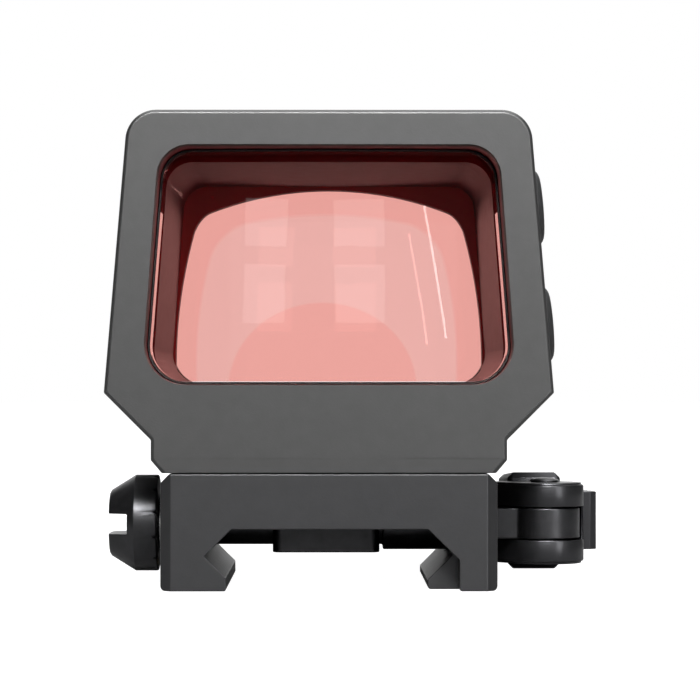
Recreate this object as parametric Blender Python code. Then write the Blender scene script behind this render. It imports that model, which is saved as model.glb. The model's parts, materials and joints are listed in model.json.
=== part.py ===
"""Enclosed red dot sight on a quick-release rail clamp.

Frame: the origin is on the seat that rests on the rail, on the centre plane and halfway along the body. +X is
the lever's side, +Y points from the front glass to the shooter, and +Z is up. Sizes below are millimetres, and
add_object turns them into metres.
"""

import math

import bmesh
import bpy
from mathutils import Matrix, Vector

MM = 0.001

# Housing: hood, lower body and rear deck
FRONT_Y = -26.0
HOOD_REAR_Y = 18.0
BODY_REAR_Y = 26.0
BODY_FLOOR_Z = 4.69
DECK_Z = 10.8
ROOF_Z = 35.04
ROOF_CORNER_R = 2.6
ROOF_HALF_W = 16.81
SHOULDER_HALF_W = 18.8
SHOULDER_Z = 11.39
LOWER_HALF_W = 14.87
LOWER_TOP_Z = 7.46
FLOOR_HALF_W = 13.95
FLOOR_CHAMFER_Z = 5.77
RIM_CHAMFER = 0.42
WALL_TILT = math.atan2(SHOULDER_HALF_W - ROOF_HALF_W, ROOF_Z - SHOULDER_Z)

# Front opening, a trapezium with round corners; the tunnel and both glasses follow its shape
OPENING_FLOOR_Z = 12.08
OPENING_ROOF_Z = 32.13
OPENING_FLOOR_HALF_W = 15.67
OPENING_ROOF_HALF_W = 14.21
OPENING_FLOOR_R = 3.4
OPENING_ROOF_R = 2.75
LENS_SEAT_INSETS = (0.15, 0.0, 0.15)
LENS_INSETS = (0.42, 0.26, 0.42)
TUNNEL_INSETS = (0.47, 0.05, 0.94)
LENS_SEAT_Y = -18.8
LENS_DOME_R = 85.0
LENS_APEX_Z = 12.6
LENS_APEX_Y = -25.8
STOP_Y = 11.3
STOP_FLOOR_Z = 12.2
STOP_ROOF_Z = 30.85
STOP_HALF_W = 14.75
STOP_WIDEST_Z = 14.0
STOP_SIDE_R = 48.0
STOP_ROOF_R = 31.6
REAR_POCKET_Y = 13.3
BEZEL_Y = 15.5
BEZEL_OPENING_INSETS = (0.2, 0.0, 0.2)
REAR_POCKET_INSET = -0.7
BEZEL_SCREWS = ((-14.45, 32.65), (14.45, 32.65), (-16.35, 13.0), (16.35, 13.0))

# Clamp and lever
MOUNT_REAR_Y = 14.0
MOUNT_ROOF_Z = 4.6
MOUNT_FLOOR_Z = -5.15
MOUNT_HALF_W = 14.1
MOUNT_FRONT_CHAMFER = 0.86
MOUNT_ROOF_CHAMFER = 0.75
SEAT_LEFT_X = -8.15
SEAT_RIGHT_X = 8.26
JAW_LENGTH = 25.0
BOLT_Y = -13.0
BOLT_R = 1.9
BOLT_SHOULDER_R = 2.35
PIN_X = 18.9
PIN_R = 1.15
NUT_R = 4.2
NUT_FACE_X = -14.88
NUT_NOTCHES = 12
EYE_R = 3.1
EYE_SHANK_HALF_W = 1.95
EAR_INNER_Z = 1.45
EAR_OUTER_Z = 3.53
KNUCKLE_R = 3.2
KNUCKLE_OVAL = 0.25
CAM_NOSE_X = 15.55
CAM_NOSE_Y = -11.5
CAM_NOSE_R = 1.5
ARM_INNER_X = 15.9
ARM_OUTER_X = 20.6
ARM_FRONT_Y = BOLT_Y + 3.4
ARM_TAPER = 0.2
ARM_REAR_Y = 11.5
ARM_HALF_H = 4.33
MOUNT_SCREWS = ((-5.5, -22.0), (5.5, -22.0), (-5.5, 3.2), (5.5, 3.2))
JAW_SPRINGS_Y = (-19.5, -6.5)
JAW_SPRING_Z = 1.9

# Electronics, controls and adjusters
BUTTON_Y = -11.0
BUTTON_Z = {"button_plus": 27.7, "button_minus": 17.35}
BUTTON_R = 3.55
BUTTON_PROUD = 1.4
BUTTON_WELL_DEPTH = 2.6
CELL_Y = -11.5
CELL_Z = 8.15
CELL_R = 10.0
CELL_H = 3.2
DRAWER_HALF_H = 1.65
DRAWER_SCREW_Y = 2.0
BAY_HALF_W = 10.0
BAY_FRONT_Y = 6.5
BAY_REAR_Y = 23.5
BAY_ROOF_Z = 9.0
COVER_LIP = 1.9
COVER_SCREWS = ((-8.0, 24.5), (8.0, 24.5))
WINDAGE_Y = 14.0
WINDAGE_Z = 8.3
WINDAGE_R = 3.1
ELEVATION_Y = 21.9
ELEVATION_R = 3.0

ROUND_STEPS = 32
SMALL_STEPS = 14

X_AXIS = Vector((1.0, 0.0, 0.0))
Y_AXIS = Vector((0.0, 1.0, 0.0))
Z_AXIS = Vector((0.0, 0.0, 1.0))


# ---------------------------------------------------------------- scene and materials

def clear_scene():
    for item in list(bpy.data.objects):
        bpy.data.objects.remove(item, do_unlink=True)


def material(name, colour, roughness, metallic):
    found = bpy.data.materials.get(name)
    if found:
        return found
    made = bpy.data.materials.new(name)
    made.use_nodes = True
    shader = made.node_tree.nodes["Principled BSDF"]
    shader.inputs["Base Color"].default_value = (*colour, 1.0)
    shader.inputs["Roughness"].default_value = roughness
    shader.inputs["Metallic"].default_value = metallic
    return made


FINISHES = {
    "anodised": ((0.060, 0.060, 0.063), 0.48, 0.6),
    "steel": ((0.110, 0.110, 0.115), 0.38, 0.9),
    "spring": ((0.450, 0.450, 0.440), 0.30, 1.0),
    "rubber": ((0.020, 0.020, 0.020), 0.75, 0.0),
    "lens": ((0.850, 0.420, 0.380), 0.03, 0.0),
    "window": ((0.900, 0.900, 0.900), 0.03, 0.0),
    "board": ((0.020, 0.120, 0.050), 0.55, 0.0),
    "polymer": ((0.030, 0.030, 0.032), 0.60, 0.0),
    "cell": ((0.600, 0.600, 0.590), 0.28, 1.0),
    "brass": ((0.700, 0.500, 0.220), 0.35, 1.0),
    "emitter": ((0.500, 0.030, 0.020), 0.25, 0.0),
}


# ---------------------------------------------------------------- shape helpers

def add_object(name, mesh_data, origin):
    """Turn a bmesh in millimetres into an object in metres whose own origin is at origin."""
    bmesh.ops.recalc_face_normals(mesh_data, faces=mesh_data.faces)
    bmesh.ops.transform(mesh_data, matrix=Matrix.Translation(-Vector(origin)), verts=mesh_data.verts)
    bmesh.ops.scale(mesh_data, vec=(MM, MM, MM), verts=mesh_data.verts)
    mesh = bpy.data.meshes.new(name)
    mesh_data.to_mesh(mesh)
    mesh_data.free()
    made = bpy.data.objects.new(name, mesh)
    made.location = Vector(origin) * MM
    bpy.context.scene.collection.objects.link(made)
    return made


def add_node(name, mesh_data, finish, origin=(0.0, 0.0, 0.0)):
    made = add_object(name, mesh_data, origin)
    colour, roughness, metallic = FINISHES[finish]
    made.data.materials.append(material(name, colour, roughness, metallic))
    made.data.shade_smooth()
    made.data.set_sharp_from_angle(angle=math.radians(32.0))
    return made


def combine(target, mesh_data, operation="DIFFERENCE"):
    """Cut target with a hidden tool, join the tool to it, or keep only what they share."""
    tool = add_object("tool_" + target.name, mesh_data, (0.0, 0.0, 0.0))
    tool.hide_render = True
    tool.display_type = "WIRE"
    step = target.modifiers.new(operation.title(), "BOOLEAN")
    step.operation = operation
    step.solver = "EXACT"
    step.object = tool


def rounded(corners, steps=5):
    """Outline through corners (u, v, radius), with each radius as an arc between its two edges."""
    outline = []
    for index, (u, v, radius) in enumerate(corners):
        here = Vector((u, v))
        if radius <= 0.0:
            outline.append(here)
            continue
        back = (Vector(corners[index - 1][:2]) - here).normalized()
        ahead = (Vector(corners[(index + 1) % len(corners)][:2]) - here).normalized()
        half_angle = back.angle(ahead) / 2.0
        centre = here + (back + ahead).normalized() * (radius / math.sin(half_angle))
        reach = radius / math.tan(half_angle)
        first = here + back * reach - centre
        sweep = first.angle_signed(here + ahead * reach - centre)
        for step in range(steps + 1):
            turn = -sweep * step / steps
            outline.append(centre + Matrix.Rotation(turn, 2) @ first)
    return outline


def box_outline(low_u, high_u, low_v, high_v, radius=0.0):
    return rounded([(low_u, low_v, radius), (high_u, low_v, radius),
                    (high_u, high_v, radius), (low_u, high_v, radius)])


def circle(centre_u, centre_v, radius, steps=ROUND_STEPS):
    return arc(centre_u, centre_v, radius, 0.0, 360.0 - 360.0 / steps, steps - 1)


def arc(centre_u, centre_v, radius, first_deg, last_deg, steps):
    turns = [math.radians(first_deg + (last_deg - first_deg) * step / steps) for step in range(steps + 1)]
    return [Vector((centre_u + radius * math.cos(turn), centre_v + radius * math.sin(turn))) for turn in turns]


def mirrored(right_side):
    """Close a right-hand chain of corners, listed floor to roof, with its mirror image."""
    return right_side + [(-u, v, radius) for u, v, radius in reversed(right_side)]


def lift(point, axis, along):
    """A point of an outline across an axis: X takes (y, z), Y takes (x, z) and Z takes (x, y)."""
    if axis == "X":
        return (along, point[0], point[1])
    if axis == "Y":
        return (point[0], along, point[1])
    return (point[0], point[1], along)


def prism(outline, axis, low, high):
    """Solid of an outline extruded along an axis."""
    shape = bmesh.new()
    face = shape.faces.new([shape.verts.new(lift(point, axis, low)) for point in outline])
    grown = bmesh.ops.extrude_face_region(shape, geom=[face])
    moved = [item for item in grown["geom"] if isinstance(item, bmesh.types.BMVert)]
    bmesh.ops.translate(shape, vec=Vector(lift((0.0, 0.0), axis, high - low)), verts=moved)
    return shape


def block(low, high):
    return prism(box_outline(low[0], high[0], low[1], high[1]), "Z", low[2], high[2])


def frame_prism(outer, inner, axis, low, high):
    """A ring of constant section: two outlines with equally many points, joined at both ends."""
    return loop_ring([[lift(point, axis, low) for point in outer], [lift(point, axis, high) for point in outer],
                      [lift(point, axis, high) for point in inner], [lift(point, axis, low) for point in inner]])


def loop_ring(loops):
    """Bridge each loop of points to the next, and the last one back to the first."""
    shape = bmesh.new()
    rows = [[shape.verts.new(point) for point in loop] for loop in loops]
    bridge_rows(shape, rows + [rows[0]])
    return shape


def bridge_rows(shape, rows):
    for row, after in zip(rows, rows[1:]):
        for index in range(len(row)):
            following = (index + 1) % len(row)
            shape.faces.new([row[index], row[following], after[following], after[index]])


def turned(profile, centre, direction, steps=ROUND_STEPS):
    """Spin a profile of (along, radius) points about direction; a ring's profile ends where it starts."""
    shape = bmesh.new()
    verts = [shape.verts.new((radius, 0.0, along)) for along, radius in profile]
    edges = [shape.edges.new(pair) for pair in zip(verts, verts[1:])]
    bmesh.ops.spin(shape, geom=verts + edges, cent=(0.0, 0.0, 0.0), axis=(0.0, 0.0, 1.0), dvec=(0.0, 0.0, 0.0),
                   angle=math.tau, steps=steps, use_merge=False, use_duplicate=False)
    bmesh.ops.remove_doubles(shape, verts=shape.verts, dist=0.0005)
    turn = Z_AXIS.rotation_difference(Vector(direction)).to_matrix().to_4x4()
    bmesh.ops.transform(shape, matrix=Matrix.Translation(centre) @ turn, verts=shape.verts)
    return shape


def rod(centre, direction, low, high, radius, steps=ROUND_STEPS):
    return turned([(low, 0.0), (low, radius), (high, radius), (high, 0.0)], centre, direction, steps)


def stepped_bore(centre, direction, *stages):
    """Cutter of stacked round stages, each (low, high, radius), along one axis."""
    profile = [(stages[0][0], 0.0)]
    for low, high, radius in stages:
        profile += [(low, radius), (high, radius)]
    return turned(profile + [(stages[-1][1], 0.0)], centre, direction, SMALL_STEPS)


def washer(centre, direction, low, high, bore, radius, steps=ROUND_STEPS):
    return turned([(low, bore), (low, radius), (high, radius), (high, bore), (low, bore)], centre, direction, steps)


def o_ring(centre, direction, radius, wire):
    section = arc(0.0, radius, wire, 0.0, 360.0, 6)
    return turned([tuple(point) for point in section], centre, direction, 20)


def coil(centre, direction, low, high, radius, wire, coils, sides=5):
    """Compression spring: a wire swept round a helix, closed at both ends."""
    shape = bmesh.new()
    count = int(coils * 9)
    start, length = low + wire, high - low - 2.0 * wire
    rows = []
    for step in range(count + 1):
        turn = math.tau * coils * step / count
        out = Vector((math.cos(turn), math.sin(turn), 0.0))
        middle = out * radius + Z_AXIS * (start + length * step / count)
        rows.append([shape.verts.new(middle + (out * u + Z_AXIS * v)) for u, v in circle(0.0, 0.0, wire, sides)])
    bridge_rows(shape, rows)
    shape.faces.new(rows[0])
    shape.faces.new(rows[-1])
    turn = Z_AXIS.rotation_difference(Vector(direction)).to_matrix().to_4x4()
    bmesh.ops.transform(shape, matrix=Matrix.Translation(centre) @ turn, verts=shape.verts)
    return shape


def bevel_plane(shape, axis_index, level, width, above=None):
    """Bevel the edges of a started mesh that lie in one plane across an axis, or only those above a height."""
    edges = [edge for edge in shape.edges
             if all(abs(vert.co[axis_index] - level) < 1e-4 for vert in edge.verts)
             and (above is None or max(vert.co.z for vert in edge.verts) > above)]
    bmesh.ops.bevel(shape, geom=edges, offset=width, segments=1, affect="EDGES", clamp_overlap=True)


def socket_screw(name, centre, direction, head_r, head_h, shank_r, shank_l, finish="steel"):
    """A cap screw: its head's free face is at centre, and direction points out of the head."""
    screw = add_node(name, turned([(-head_h - shank_l, 0.0), (-head_h - shank_l, shank_r * 0.8),
                                   (-head_h - shank_l + shank_r * 0.5, shank_r), (-head_h, shank_r),
                                   (-head_h, head_r), (-head_r * 0.15, head_r), (0.0, head_r * 0.85), (0.0, 0.0)],
                                  centre, direction, SMALL_STEPS), finish, centre)
    combine(screw, rod(centre, direction, -head_h * 0.6, head_h, head_r * 0.5, 6))
    return screw


# ---------------------------------------------------------------- outlines of the sight

def body_corners(inset=0.0):
    return mirrored([(FLOOR_HALF_W - inset, BODY_FLOOR_Z + inset, 0.0),
                     (LOWER_HALF_W - inset, FLOOR_CHAMFER_Z + inset * 0.6, 0.3),
                     (LOWER_HALF_W - inset, LOWER_TOP_Z + inset * 0.4, 0.3),
                     (SHOULDER_HALF_W - inset, SHOULDER_Z + inset * 0.5, 0.25),
                     (ROOF_HALF_W - inset, ROOF_Z - inset, ROOF_CORNER_R)])


def opening(side, floor=None, roof=None):
    """Outline of the front opening, drawn in by a distance at its sides, its floor and its roof."""
    floor = side if floor is None else floor
    roof = side if roof is None else roof
    slope = (OPENING_FLOOR_HALF_W - OPENING_ROOF_HALF_W) / (OPENING_ROOF_Z - OPENING_FLOOR_Z)
    return rounded(mirrored([(OPENING_FLOOR_HALF_W - side - slope * floor, OPENING_FLOOR_Z + floor,
                              OPENING_FLOOR_R - side),
                             (OPENING_ROOF_HALF_W - side + slope * roof, OPENING_ROOF_Z - roof,
                              OPENING_ROOF_R - side)]))


def stop_outline():
    """The field stop at the tunnel's rear end: bowed sides under an arched roof."""
    side = arc(STOP_HALF_W - STOP_SIDE_R, STOP_WIDEST_Z, STOP_SIDE_R, 0.0, 15.6, 5)
    roof = arc(0.0, STOP_ROOF_Z - STOP_ROOF_R, STOP_ROOF_R, 68.8, 90.0, 5)
    foot = arc(STOP_HALF_W - 1.8, STOP_FLOOR_Z + 1.8, 1.8, -90.0, -15.0, 4)
    shoulder = (side[-1] * 0.35 + roof[0] * 0.65) + Vector((0.28, 0.1))
    right = foot + side + [shoulder] + roof
    return right + [Vector((-u, v)) for u, v in reversed(right[:-1])]


def wall_x(height):
    """Outer face of the hood's side wall at a height."""
    return ROOF_HALF_W + (ROOF_Z - height) * math.tan(WALL_TILT)


def dome_y(x, z):
    """Front face of the domed glass, whose apex is low on the centre plane."""
    return LENS_APEX_Y + (x * x + (z - LENS_APEX_Z) ** 2) / (2.0 * LENS_DOME_R)


# ---------------------------------------------------------------- housing and glasses

def make_housing():
    shell = prism(rounded(body_corners()), "Y", FRONT_Y, BODY_REAR_Y)
    bevel_plane(shell, 1, FRONT_Y, RIM_CHAMFER, BODY_FLOOR_Z + 0.1)
    housing = add_node("housing", shell, "anodised")
    far = 60.0
    combine(housing, block((-far, BEZEL_Y, DECK_Z), (far, far, far)))
    combine(housing, prism(opening(*TUNNEL_INSETS), "Y", FRONT_Y - 5.0, STOP_Y))
    combine(housing, prism(stop_outline(), "Y", STOP_Y - 1.0, HOOD_REAR_Y))
    combine(housing, prism(opening(*LENS_SEAT_INSETS), "Y", FRONT_Y - 5.0, LENS_SEAT_Y))
    lip = loop_ring_solid(opening(-0.05), FRONT_Y - 0.1, opening(*LENS_SEAT_INSETS), FRONT_Y + 0.45)
    combine(housing, lip)
    combine(housing, prism(opening(REAR_POCKET_INSET), "Y", REAR_POCKET_Y, HOOD_REAR_Y))
    for name, height in BUTTON_Z.items():
        centre, direction = button_place(height)
        combine(housing, rod(centre, direction, -BUTTON_WELL_DEPTH, 3.0, BUTTON_R + 0.2))
    cut_drawer_pocket(housing)
    cut_emitter_bay(housing)
    cut_adjuster_seats(housing)
    for x, y in MOUNT_SCREWS:
        combine(housing, rod((x, y, BODY_FLOOR_Z), Z_AXIS, -1.0, 1.3 if y < 0.0 else 4.0, 1.15, SMALL_STEPS))
    for x, z in BEZEL_SCREWS:
        combine(housing, rod((x, BEZEL_Y, z), Y_AXIS, -4.2, 1.0, 0.75, SMALL_STEPS))
    return housing


def loop_ring_solid(near_outline, near_y, far_outline, far_y):
    """Solid that tapers along Y from one outline to another with equally many points."""
    shape = bmesh.new()
    rows = [[shape.verts.new(lift(point, "Y", level)) for point in outline]
            for outline, level in ((near_outline, near_y), (far_outline, far_y))]
    bridge_rows(shape, rows)
    shape.faces.new(rows[0])
    shape.faces.new(rows[1])
    return shape


def make_glasses():
    lens = bmesh.new()
    rim = opening(*LENS_INSETS)
    apex = Vector((0.0, (OPENING_FLOOR_Z + OPENING_ROOF_Z) / 2.0))
    back_y = LENS_SEAT_Y - 0.3
    dish = 2.4
    shares = (1.0, 0.78, 0.52, 0.26)
    rows = []
    for share in reversed(shares):
        ring = [apex + (point - apex) * share for point in rim]
        rows.append([lens.verts.new((x, back_y - dish * (1.0 - share ** 2), z)) for x, z in ring])
    for share in shares:
        ring = [apex + (point - apex) * share for point in rim]
        rows.append([lens.verts.new((x, dome_y(x, z), z)) for x, z in ring])
    bridge_rows(lens, rows)
    for row, level in ((rows[0], back_y - dish), (rows[-1], dome_y(*apex))):
        middle = lens.verts.new((apex[0], level, apex[1]))
        for index in range(len(row)):
            lens.faces.new([middle, row[index - 1], row[index]])
    add_node("front_lens", lens, "lens")

    outer = opening(*(inset + 0.05 for inset in LENS_SEAT_INSETS))
    inner = opening(*(inset - 0.05 for inset in LENS_INSETS))
    add_node("front_gasket", loop_ring([[(x, dome_y(x, z) + 0.25, z) for x, z in outer],
                                        [(x, back_y, z) for x, z in outer],
                                        [(x, back_y, z) for x, z in inner],
                                        [(x, dome_y(x, z) + 0.25, z) for x, z in inner]]), "rubber")

    glass = prism(opening(REAR_POCKET_INSET + 0.6), "Y", REAR_POCKET_Y + 0.3, BEZEL_Y - 0.3)
    add_node("rear_window", glass, "window")
    add_node("rear_gasket", frame_prism(opening(REAR_POCKET_INSET + 0.1), opening(REAR_POCKET_INSET + 0.5), "Y",
                                        REAR_POCKET_Y + 0.1, BEZEL_Y - 0.15), "rubber")

    plate = prism(rounded(body_corners()), "Y", BEZEL_Y + 0.08, HOOD_REAR_Y)
    bevel_plane(plate, 1, HOOD_REAR_Y, RIM_CHAMFER)
    bezel = add_node("rear_bezel", plate, "anodised")
    combine(bezel, block((-60.0, 0.0, -20.0), (60.0, 60.0, DECK_Z + 0.08)))
    combine(bezel, prism(opening(*BEZEL_OPENING_INSETS), "Y", 0.0, 30.0))
    for index, (x, z) in enumerate(BEZEL_SCREWS, 1):
        combine(bezel, stepped_bore((x, HOOD_REAR_Y, z), Y_AXIS, (-5.0, -1.1, 0.75), (-1.1, 1.0, 1.3)))
        socket_screw("bezel_screw_%d" % index, (x, HOOD_REAR_Y - 0.15, z), Y_AXIS, 1.2, 0.85, 0.65, 4.8)


# ---------------------------------------------------------------- buttons

def button_place(height):
    direction = Vector((math.cos(WALL_TILT), 0.0, math.sin(WALL_TILT)))
    return Vector((wall_x(height), BUTTON_Y, height)), direction


def make_buttons():
    for name, height in BUTTON_Z.items():
        centre, direction = button_place(height)
        crown = [(BUTTON_PROUD * math.sin(turn), BUTTON_R - 1.5 + 1.5 * math.cos(turn))
                 for turn in (math.radians(15.0 * step) for step in range(1, 7))]
        add_node(name, turned([(-1.3, 0.0), (-1.3, BUTTON_R), (0.0, BUTTON_R)] + crown
                              + [(BUTTON_PROUD + 0.12, 0.0)], centre, direction, 28), "rubber", centre)
        add_node(name.replace("button", "switch"),
                 turned([(-2.5, 0.0), (-2.5, 2.3), (-2.2, 2.3), (-2.05, 1.5), (-1.95, 0.0)], centre, direction,
                        SMALL_STEPS), "spring")


# ---------------------------------------------------------------- battery drawer

def drawer_outline(clearance):
    """Plan of the drawer: a round end about the cell, a straight neck, and a tab for its screw."""
    half = CELL_R + 0.9 + clearance
    front, rear = CELL_Y - half, CELL_Y + half
    return ([Vector((SHOULDER_HALF_W + 3.0, front)), Vector((SHOULDER_HALF_W + 3.0, DRAWER_SCREW_Y + 2.4 + clearance)),
             Vector((13.6 - clearance, DRAWER_SCREW_Y + 2.4 + clearance)), Vector((13.6 - clearance, rear))]
            + arc(0.0, CELL_Y, half, 90.0, 270.0, 24))


def cut_drawer_pocket(housing):
    combine(housing, prism(drawer_outline(0.2), "Z", CELL_Z - DRAWER_HALF_H - 0.25, CELL_Z + DRAWER_HALF_H + 0.35))
    combine(housing, rod((13.5, DRAWER_SCREW_Y, CELL_Z), X_AXIS, -4.5, 1.0, 0.95, SMALL_STEPS))


def make_drawer():
    drawer = add_node("battery_drawer", prism(drawer_outline(0.0), "Z", CELL_Z - DRAWER_HALF_H,
                                              CELL_Z + DRAWER_HALF_H), "polymer")
    combine(drawer, prism(rounded(body_corners(0.08)), "Y", -40.0, 40.0), "INTERSECT")
    combine(drawer, rod((0.0, CELL_Y, CELL_Z), Z_AXIS, -5.0, 5.0, CELL_R + 0.12))
    groove = CELL_R + 0.5
    for low, high in ((-5.0, -1.25), (1.25, 5.0)):
        combine(drawer, block((12.0, CELL_Y - 20.0, CELL_Z + low), (13.2, CELL_Y + groove + 0.9, CELL_Z + high)))
    combine(drawer, block((12.0, CELL_Y - 20.0, CELL_Z - 5.0), (13.2, CELL_Y - groove, CELL_Z + 5.0)))
    combine(drawer, block((12.0, CELL_Y + groove, CELL_Z - 5.0), (13.2, CELL_Y + groove + 0.9, CELL_Z + 5.0)))
    combine(drawer, stepped_bore((0.0, DRAWER_SCREW_Y, CELL_Z), X_AXIS, (10.0, 14.6, 0.95), (14.6, 30.0, 1.45)))

    outer = box_outline(CELL_Y - groove - 0.5, CELL_Y + groove + 0.5, CELL_Z - 1.85, CELL_Z + 1.9, 0.3)
    inner = box_outline(CELL_Y - groove - 0.06, CELL_Y + groove + 0.06, CELL_Z - 1.31, CELL_Z + 1.31, 0.1)
    add_node("drawer_seal", frame_prism(outer, inner, "X", 12.2, 13.0), "rubber")

    edge = 0.25
    add_node("battery", turned([(-CELL_H / 2, 0.0), (-CELL_H / 2, CELL_R - edge), (edge - CELL_H / 2, CELL_R),
                                (CELL_H / 2 - edge, CELL_R), (CELL_H / 2, CELL_R - edge), (CELL_H / 2, 0.0)],
                               (0.0, CELL_Y, CELL_Z), Z_AXIS), "cell")
    socket_screw("drawer_screw", (15.5, DRAWER_SCREW_Y, CELL_Z), X_AXIS, 1.3, 0.8, 0.8, 4.8)
    roof_z = CELL_Z + DRAWER_HALF_H + 0.35
    leaf = prism(box_outline(-6.0, 6.0, CELL_Y - 1.5, CELL_Y + 1.5, 0.4), "Z", roof_z - 0.2, roof_z - 0.06)
    add_node("battery_contact", leaf, "brass")


# ---------------------------------------------------------------- emitter and adjusters

def cut_emitter_bay(housing):
    floor = BODY_FLOOR_Z - 1.0
    combine(housing, block((-BAY_HALF_W, BAY_FRONT_Y, floor), (BAY_HALF_W, BAY_REAR_Y, BAY_ROOF_Z)))
    combine(housing, block((-BAY_HALF_W, BAY_FRONT_Y, floor), (BAY_HALF_W, BAY_FRONT_Y + 10.5, 11.2)))
    combine(housing, block((-4.0, BAY_FRONT_Y + 0.6, 10.0), (4.0, REAR_POCKET_Y - 0.6, 15.0)))
    combine(housing, block((-2.2, -1.0, 10.75), (2.2, BAY_FRONT_Y + 1.1, 13.0)))
    combine(housing, block((-BAY_HALF_W - 1.2, BAY_FRONT_Y - 1.2, floor),
                           (BAY_HALF_W + 1.2, BAY_REAR_Y + COVER_LIP + 0.1, BODY_FLOOR_Z + 0.85)))
    for x, y in COVER_SCREWS:
        combine(housing, rod((x, y, BODY_FLOOR_Z), Z_AXIS, 0.0, 3.6, 0.6, SMALL_STEPS))


def cut_adjuster_seats(housing):
    """A round recess for each dial and a bore for its stem, which opens into the emitter bay."""
    for centre, direction, seat, radius, bore_end in (
            ((0.0, WINDAGE_Y, WINDAGE_Z), -X_AXIS, 14.2, WINDAGE_R, 9.0),
            ((0.0, ELEVATION_Y, 0.0), Z_AXIS, DECK_Z - 1.0, ELEVATION_R, 8.0)):
        combine(housing, stepped_bore(centre, direction, (bore_end, seat, 1.15), (seat, 30.0, radius + 0.2)))


def dial(name, centre, direction, radius, stem):
    """Coin-slotted adjuster: a fluted disc whose seat is at centre, with a stem behind it."""
    height = 1.6
    body = add_node(name, turned([(-stem, 0.0), (-stem, 0.95), (0.15, 0.95), (0.15, 1.6), (0.5, 1.6), (0.5, radius),
                                  (height - 0.25, radius), (height, radius - 0.25), (height, 0.0)],
                                 centre, direction), "anodised", centre)
    turn = Z_AXIS.rotation_difference(Vector(direction)).to_matrix().to_4x4()
    slot = prism(box_outline(-radius - 1.0, radius + 1.0, -0.45, 0.45), "Z", height - 0.8, height + 1.0)
    bmesh.ops.transform(slot, matrix=Matrix.Translation(centre) @ turn, verts=slot.verts)
    combine(body, slot)
    return body


def make_adjusters():
    dial("windage_dial", Vector((-14.95, WINDAGE_Y, WINDAGE_Z)), -X_AXIS, WINDAGE_R, 8.0)
    add_node("windage_seal", o_ring((-14.62, WINDAGE_Y, WINDAGE_Z), X_AXIS, 2.2, 0.27), "rubber")
    dial("elevation_dial", Vector((0.0, ELEVATION_Y, DECK_Z - 0.75)), Z_AXIS, ELEVATION_R, 2.55)
    add_node("elevation_seal", o_ring((0.0, ELEVATION_Y, DECK_Z - 0.6), Z_AXIS, 2.2, 0.27), "rubber")


def make_emitter():
    shoe = add_node("emitter_shoe", block((-9.3, 8.5, 6.4), (7.0, 22.9, 7.2)), "polymer")
    combine(shoe, block((-9.3, 12.0, 7.0), (-6.2, 16.0, 9.9)), "UNION")
    combine(shoe, block((5.6, 12.0, 7.0), (7.0, 16.0, 9.6)), "UNION")
    combine(shoe, rod((0.0, WINDAGE_Y, WINDAGE_Z), X_AXIS, -12.0, -6.6, 1.15, SMALL_STEPS))

    holder = add_node("emitter_holder", block((-4.5, 9.2, 7.6), (4.5, 22.6, 8.55)), "polymer")
    combine(holder, block((-2.6, 9.2, 8.4), (2.6, 12.2, 12.0)), "UNION")
    combine(holder, prism(rounded([(2.3, ELEVATION_Y, 0.0), (-2.3, ELEVATION_Y, 0.0), (-2.3, ELEVATION_Y - 2.0, 0.6),
                                   (2.3, ELEVATION_Y - 2.0, 0.6)]), "Z", 6.0, 9.2))
    combine(holder, block((-2.3, ELEVATION_Y - 1.4, 6.0), (2.3, ELEVATION_Y + 3.0, 9.2)))
    tilt = Vector((0.0, -math.cos(math.radians(10.0)), math.sin(math.radians(10.0))))
    seat = Vector((0.0, 9.4, 10.95))
    combine(holder, rod(seat, tilt, -1.0, 3.0, 0.95, SMALL_STEPS))
    add_node("emitter_led", turned([(-0.85, 0.0), (-0.85, 0.8), (0.2, 0.8), (0.5, 0.6), (0.7, 0.3), (0.75, 0.0)],
                                   seat, tilt, SMALL_STEPS), "emitter")

    add_node("emitter_spring", coil((0.0, WINDAGE_Y, WINDAGE_Z), X_AXIS, 7.4, 9.9, 0.9, 0.16, 3), "spring")
    add_node("circuit_board", prism(box_outline(-9.6, 9.6, 7.0, 23.0, 0.8), "Z", 5.6, 6.15), "board")
    cover = add_node("bottom_cover", block((-BAY_HALF_W - 1.1, BAY_FRONT_Y - 1.1, BODY_FLOOR_Z + 0.02),
                                           (BAY_HALF_W + 1.1, BAY_REAR_Y + COVER_LIP, BODY_FLOOR_Z + 0.78)),
                     "anodised")
    for index, (x, y) in enumerate(COVER_SCREWS, 1):
        combine(cover, rod((x, y, 0.0), Z_AXIS, 0.0, 10.0, 0.75, SMALL_STEPS))
        socket_screw("cover_screw_%d" % index, (x, y, BODY_FLOOR_Z + 0.05), -Z_AXIS, 0.65, 0.5, 0.45, 2.4)


# ---------------------------------------------------------------- clamp

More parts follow.
